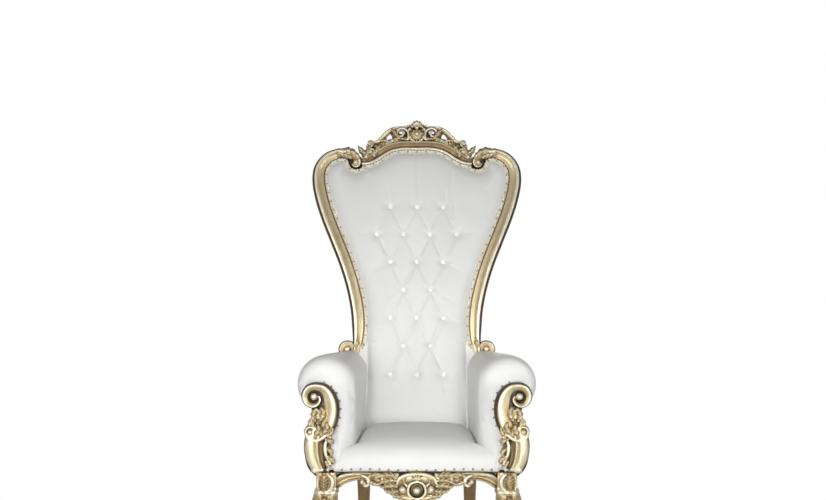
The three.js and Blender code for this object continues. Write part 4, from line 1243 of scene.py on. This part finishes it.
def make_crystals():
    """Cut crystals with a table, a crown and a pavilion, each over a silver foil."""
    xs, zs = np.array(BUTTONS).T
    sides = 12
    for i, (x, depth, z) in enumerate(zip(xs, padding_depth(xs, zs), zs)):
        name = f"crystal_button_{i + 1:02d}"
        rings = []
        for radius, rise, turn in CRYSTAL_RINGS:
            angles = (np.arange(sides) + turn) * 2 * math.pi / sides
            across, up = x + radius * np.cos(angles), z + radius * np.sin(angles)
            rings.append(np.stack([across, np.full(sides, depth - rise), up], 1))
        piece(name, skin(rings, 1).placed(in_back), CRYSTAL, [name], sharp=1)
        foil = turned(x, z, [(0, depth - 0.8, 1), (5, depth - 3.2, 1), (9.8, depth - 6.2, 1)], depth + 2, 18)
        piece(f"{name}_foil", foil.placed(in_back), SILVER, [name], sharp=40)


# ---------------------------------------------------------------- arms and seat
ARM = {  # at the front, and at the rear
    "inner": (229, 206), "outer": (431, 339), "panel": (348, 236),
    "roll_centre": (758, 748), "roll_reach": (101, 99),
}
ROLL_FOOT_INSIDE = 742
ROLL_FOOT_OUTSIDE = 610
SEAT_FRONT = -358
SEAT_FRONT_HALF = 297  # the leather runs in under the carving of the posts
SEAT_REAR_GAP = 40
SEAT_NAIL_PITCH = 33
ARM_REAR_GAP = 3
PRESSURE = 4
SETTLING_FRAMES = 20


def lerp(a, b, t):
    return a + (b - a) * t


def leaning_plane(z, depth):
    return BACK_PIVOT[1] + (z - BACK_PIVOT[2]) * math.tan(LEAN) + depth / math.cos(LEAN)


def arm_inner_face(t):
    return lerp(*ARM["inner"], t)


def arm_ring(t, inset):
    """One ring of the arm: inner face, roll and outside panel. t runs from the front to the rear."""
    inner = arm_inner_face(t) + inset
    outer = lerp(*ARM["outer"], t**1.5) - inset
    panel = lerp(*ARM["panel"], t)
    centre_x, centre_z = (inner + outer) / 2, lerp(*ARM["roll_centre"], t)
    reach_x, reach_z = (outer - inner) / 2, lerp(*ARM["roll_reach"], t) - inset
    angles = [math.radians(a) for a in np.linspace(180, -70, 34)]
    roll = [(centre_x + reach_x * math.cos(a), centre_z + reach_z * math.sin(a)) for a in angles]
    base = RAIL_TOP + 1.6
    up = [(inner + 3 * (1 - k), lerp(base, ROLL_FOOT_INSIDE, k)) for k in np.linspace(0, 1, 16)[:-1]]
    down = [(lerp(panel - inset, panel - 4 - inset, k), lerp(ROLL_FOOT_OUTSIDE, base, k))
            for k in np.linspace(0, 1, 12)]
    outline = [*up, *roll, *down]
    return [(x, lerp(ARM_FRONT, leaning_plane(z, -ARM_REAR_GAP), t), z) for x, z in outline]


def flared(shape):
    """Brings the foot of the arm's front forward and aside, to flow into the front of the seat."""
    points = shape.points.copy()
    x, y, z = points.T
    low = np.clip((625 - z) / 150, 0, 1)
    low = low * low * (3 - 2 * low)
    near = np.clip((-262 - y) / 60, 0, 1) ** 1.5
    points[:, 1] -= 20 * low * near
    points[:, 0] += 30 * low * near * np.clip((300 - x) / 71, 0, 1)
    return Shape(points, shape.faces, shape.tone)


def make_arm_pads():
    fronts = [(0, 44), (0.004, 35), (0.011, 26), (0.022, 18), (0.04, 10.5), (0.065, 5), (0.095, 1.5)]
    stations = fronts + [(t, 0) for t in np.linspace(0.13, 1, 26)]
    shape = flared(skin([arm_ring(t, inset) for t, inset in stations], 0.5))
    for side in SIDES:
        node = f"arm_pad_{side}"
        pad = piece(node, on_side(side, shape), LEATHER, [node], sharp=75)
        swell(pad, voxel=6, cap=7)


def seat_rings():
    """Rings from the front to the rear. Each stop is (y, how far the crown stands above the rails)."""
    def along(y):
        return (y - ARM_FRONT) / (leaning_plane(500, -ARM_REAR_GAP) - ARM_FRONT)

    base = RAIL_TOP + 0.6
    front = SEAT_FRONT
    stops = [(front, 16), (front + 0.5, 36), (front + 5, 52), (front + 14, 66), (front + 30, 80),
             (front + 55, 94), (front + 90, 106), (-215, 115), (-150, 121), (-80, 124), (0, 123), (90, 114)]
    rings = []
    for y, rise in smooth_line(stops, 60):
        narrow = 1 / (1 + math.exp(-(y + 305) / 12))  # the front widens over the feet of the arms
        half = lerp(SEAT_FRONT_HALF, arm_inner_face(max(along(y), 0)) - 2.5, narrow)
        is_last = y > 89  # the rear face leans with the back
        dome = []
        for share in np.linspace(1, -1, 41):
            crown = rise * (1 - 0.11 * share**2) * (1 - 0.16 * abs(share) ** 9 * narrow)
            dome.append((share * half, base + crown))
        foot = base - 3.5 * (1 - narrow)
        low = base + rise * 0.3
        outline = [(half, low), *dome, (-half, low), (-half, foot), (half, foot)]
        rings.append([(x, leaning_plane(z, -SEAT_REAR_GAP) if is_last else y, z) for x, z in outline])
    return rings


def make_seat():
    seat = piece("seat_cushion", skin(seat_rings(), 0.5), LEATHER, ["seat_cushion"], sharp=75)
    swell(seat, voxel=6, cap=6)
    stops = SEAT_NAIL_PITCH * np.arange(-8, 9)
    places = [(x, SEAT_FRONT - 5.0, 455 - 3 * math.cos(x / 58)) for x in stops]
    nails = nail_heads(places, radius=4.6, rise=3.0)
    piece("seat_nails", nails, NAIL, ["seat_cushion"], sharp=0)


def swell(obj, voxel, cap):
    """Fills a pad out under a little pressure, holding each point within a cap of where it began."""
    scene = bpy.context.scene
    remesh = obj.modifiers.new("even", "REMESH")
    remesh.mode = "VOXEL"
    remesh.voxel_size = voxel * MM
    mesh = evaluated(obj)
    before = np.empty(len(mesh.vertices) * 3)
    mesh.vertices.foreach_get("co", before)
    cloth = obj.modifiers.new("cloth", "CLOTH")
    cloth.settings.quality = 5
    cloth.settings.use_pressure = True
    cloth.settings.uniform_pressure_force = PRESSURE
    cloth.settings.effector_weights.gravity = 0
    cloth.point_cache.frame_start = 1
    cloth.point_cache.frame_end = SETTLING_FRAMES
    for number in range(SETTLING_FRAMES):
        scene.frame_set(number + 1)
    settled = evaluated(obj)
    after = np.empty_like(before)
    settled.vertices.foreach_get("co", after)
    move = (after - before).reshape(-1, 3)
    length = np.linalg.norm(move, axis=1, keepdims=True)
    move *= np.minimum(1, cap * MM / np.maximum(length, 1e-9))
    settled.vertices.foreach_set("co", (before.reshape(-1, 3) + move).ravel())
    settled.update()
    finer = obj.modifiers.new("finer", "SUBSURF")
    finer.levels = 1
    evaluated(obj)
    scene.frame_set(1)
    obj.data.shade_smooth()


def dress_board():
    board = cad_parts["seat_board"]
    board.data.materials.clear()
    board.data.materials.append(PLYWOOD)


make_arm_posts()
make_legs()
make_rails()
make_inside_back()
make_outside_back()
make_trim()
make_crystals()
make_arm_pads()
make_seat()
dress_board()
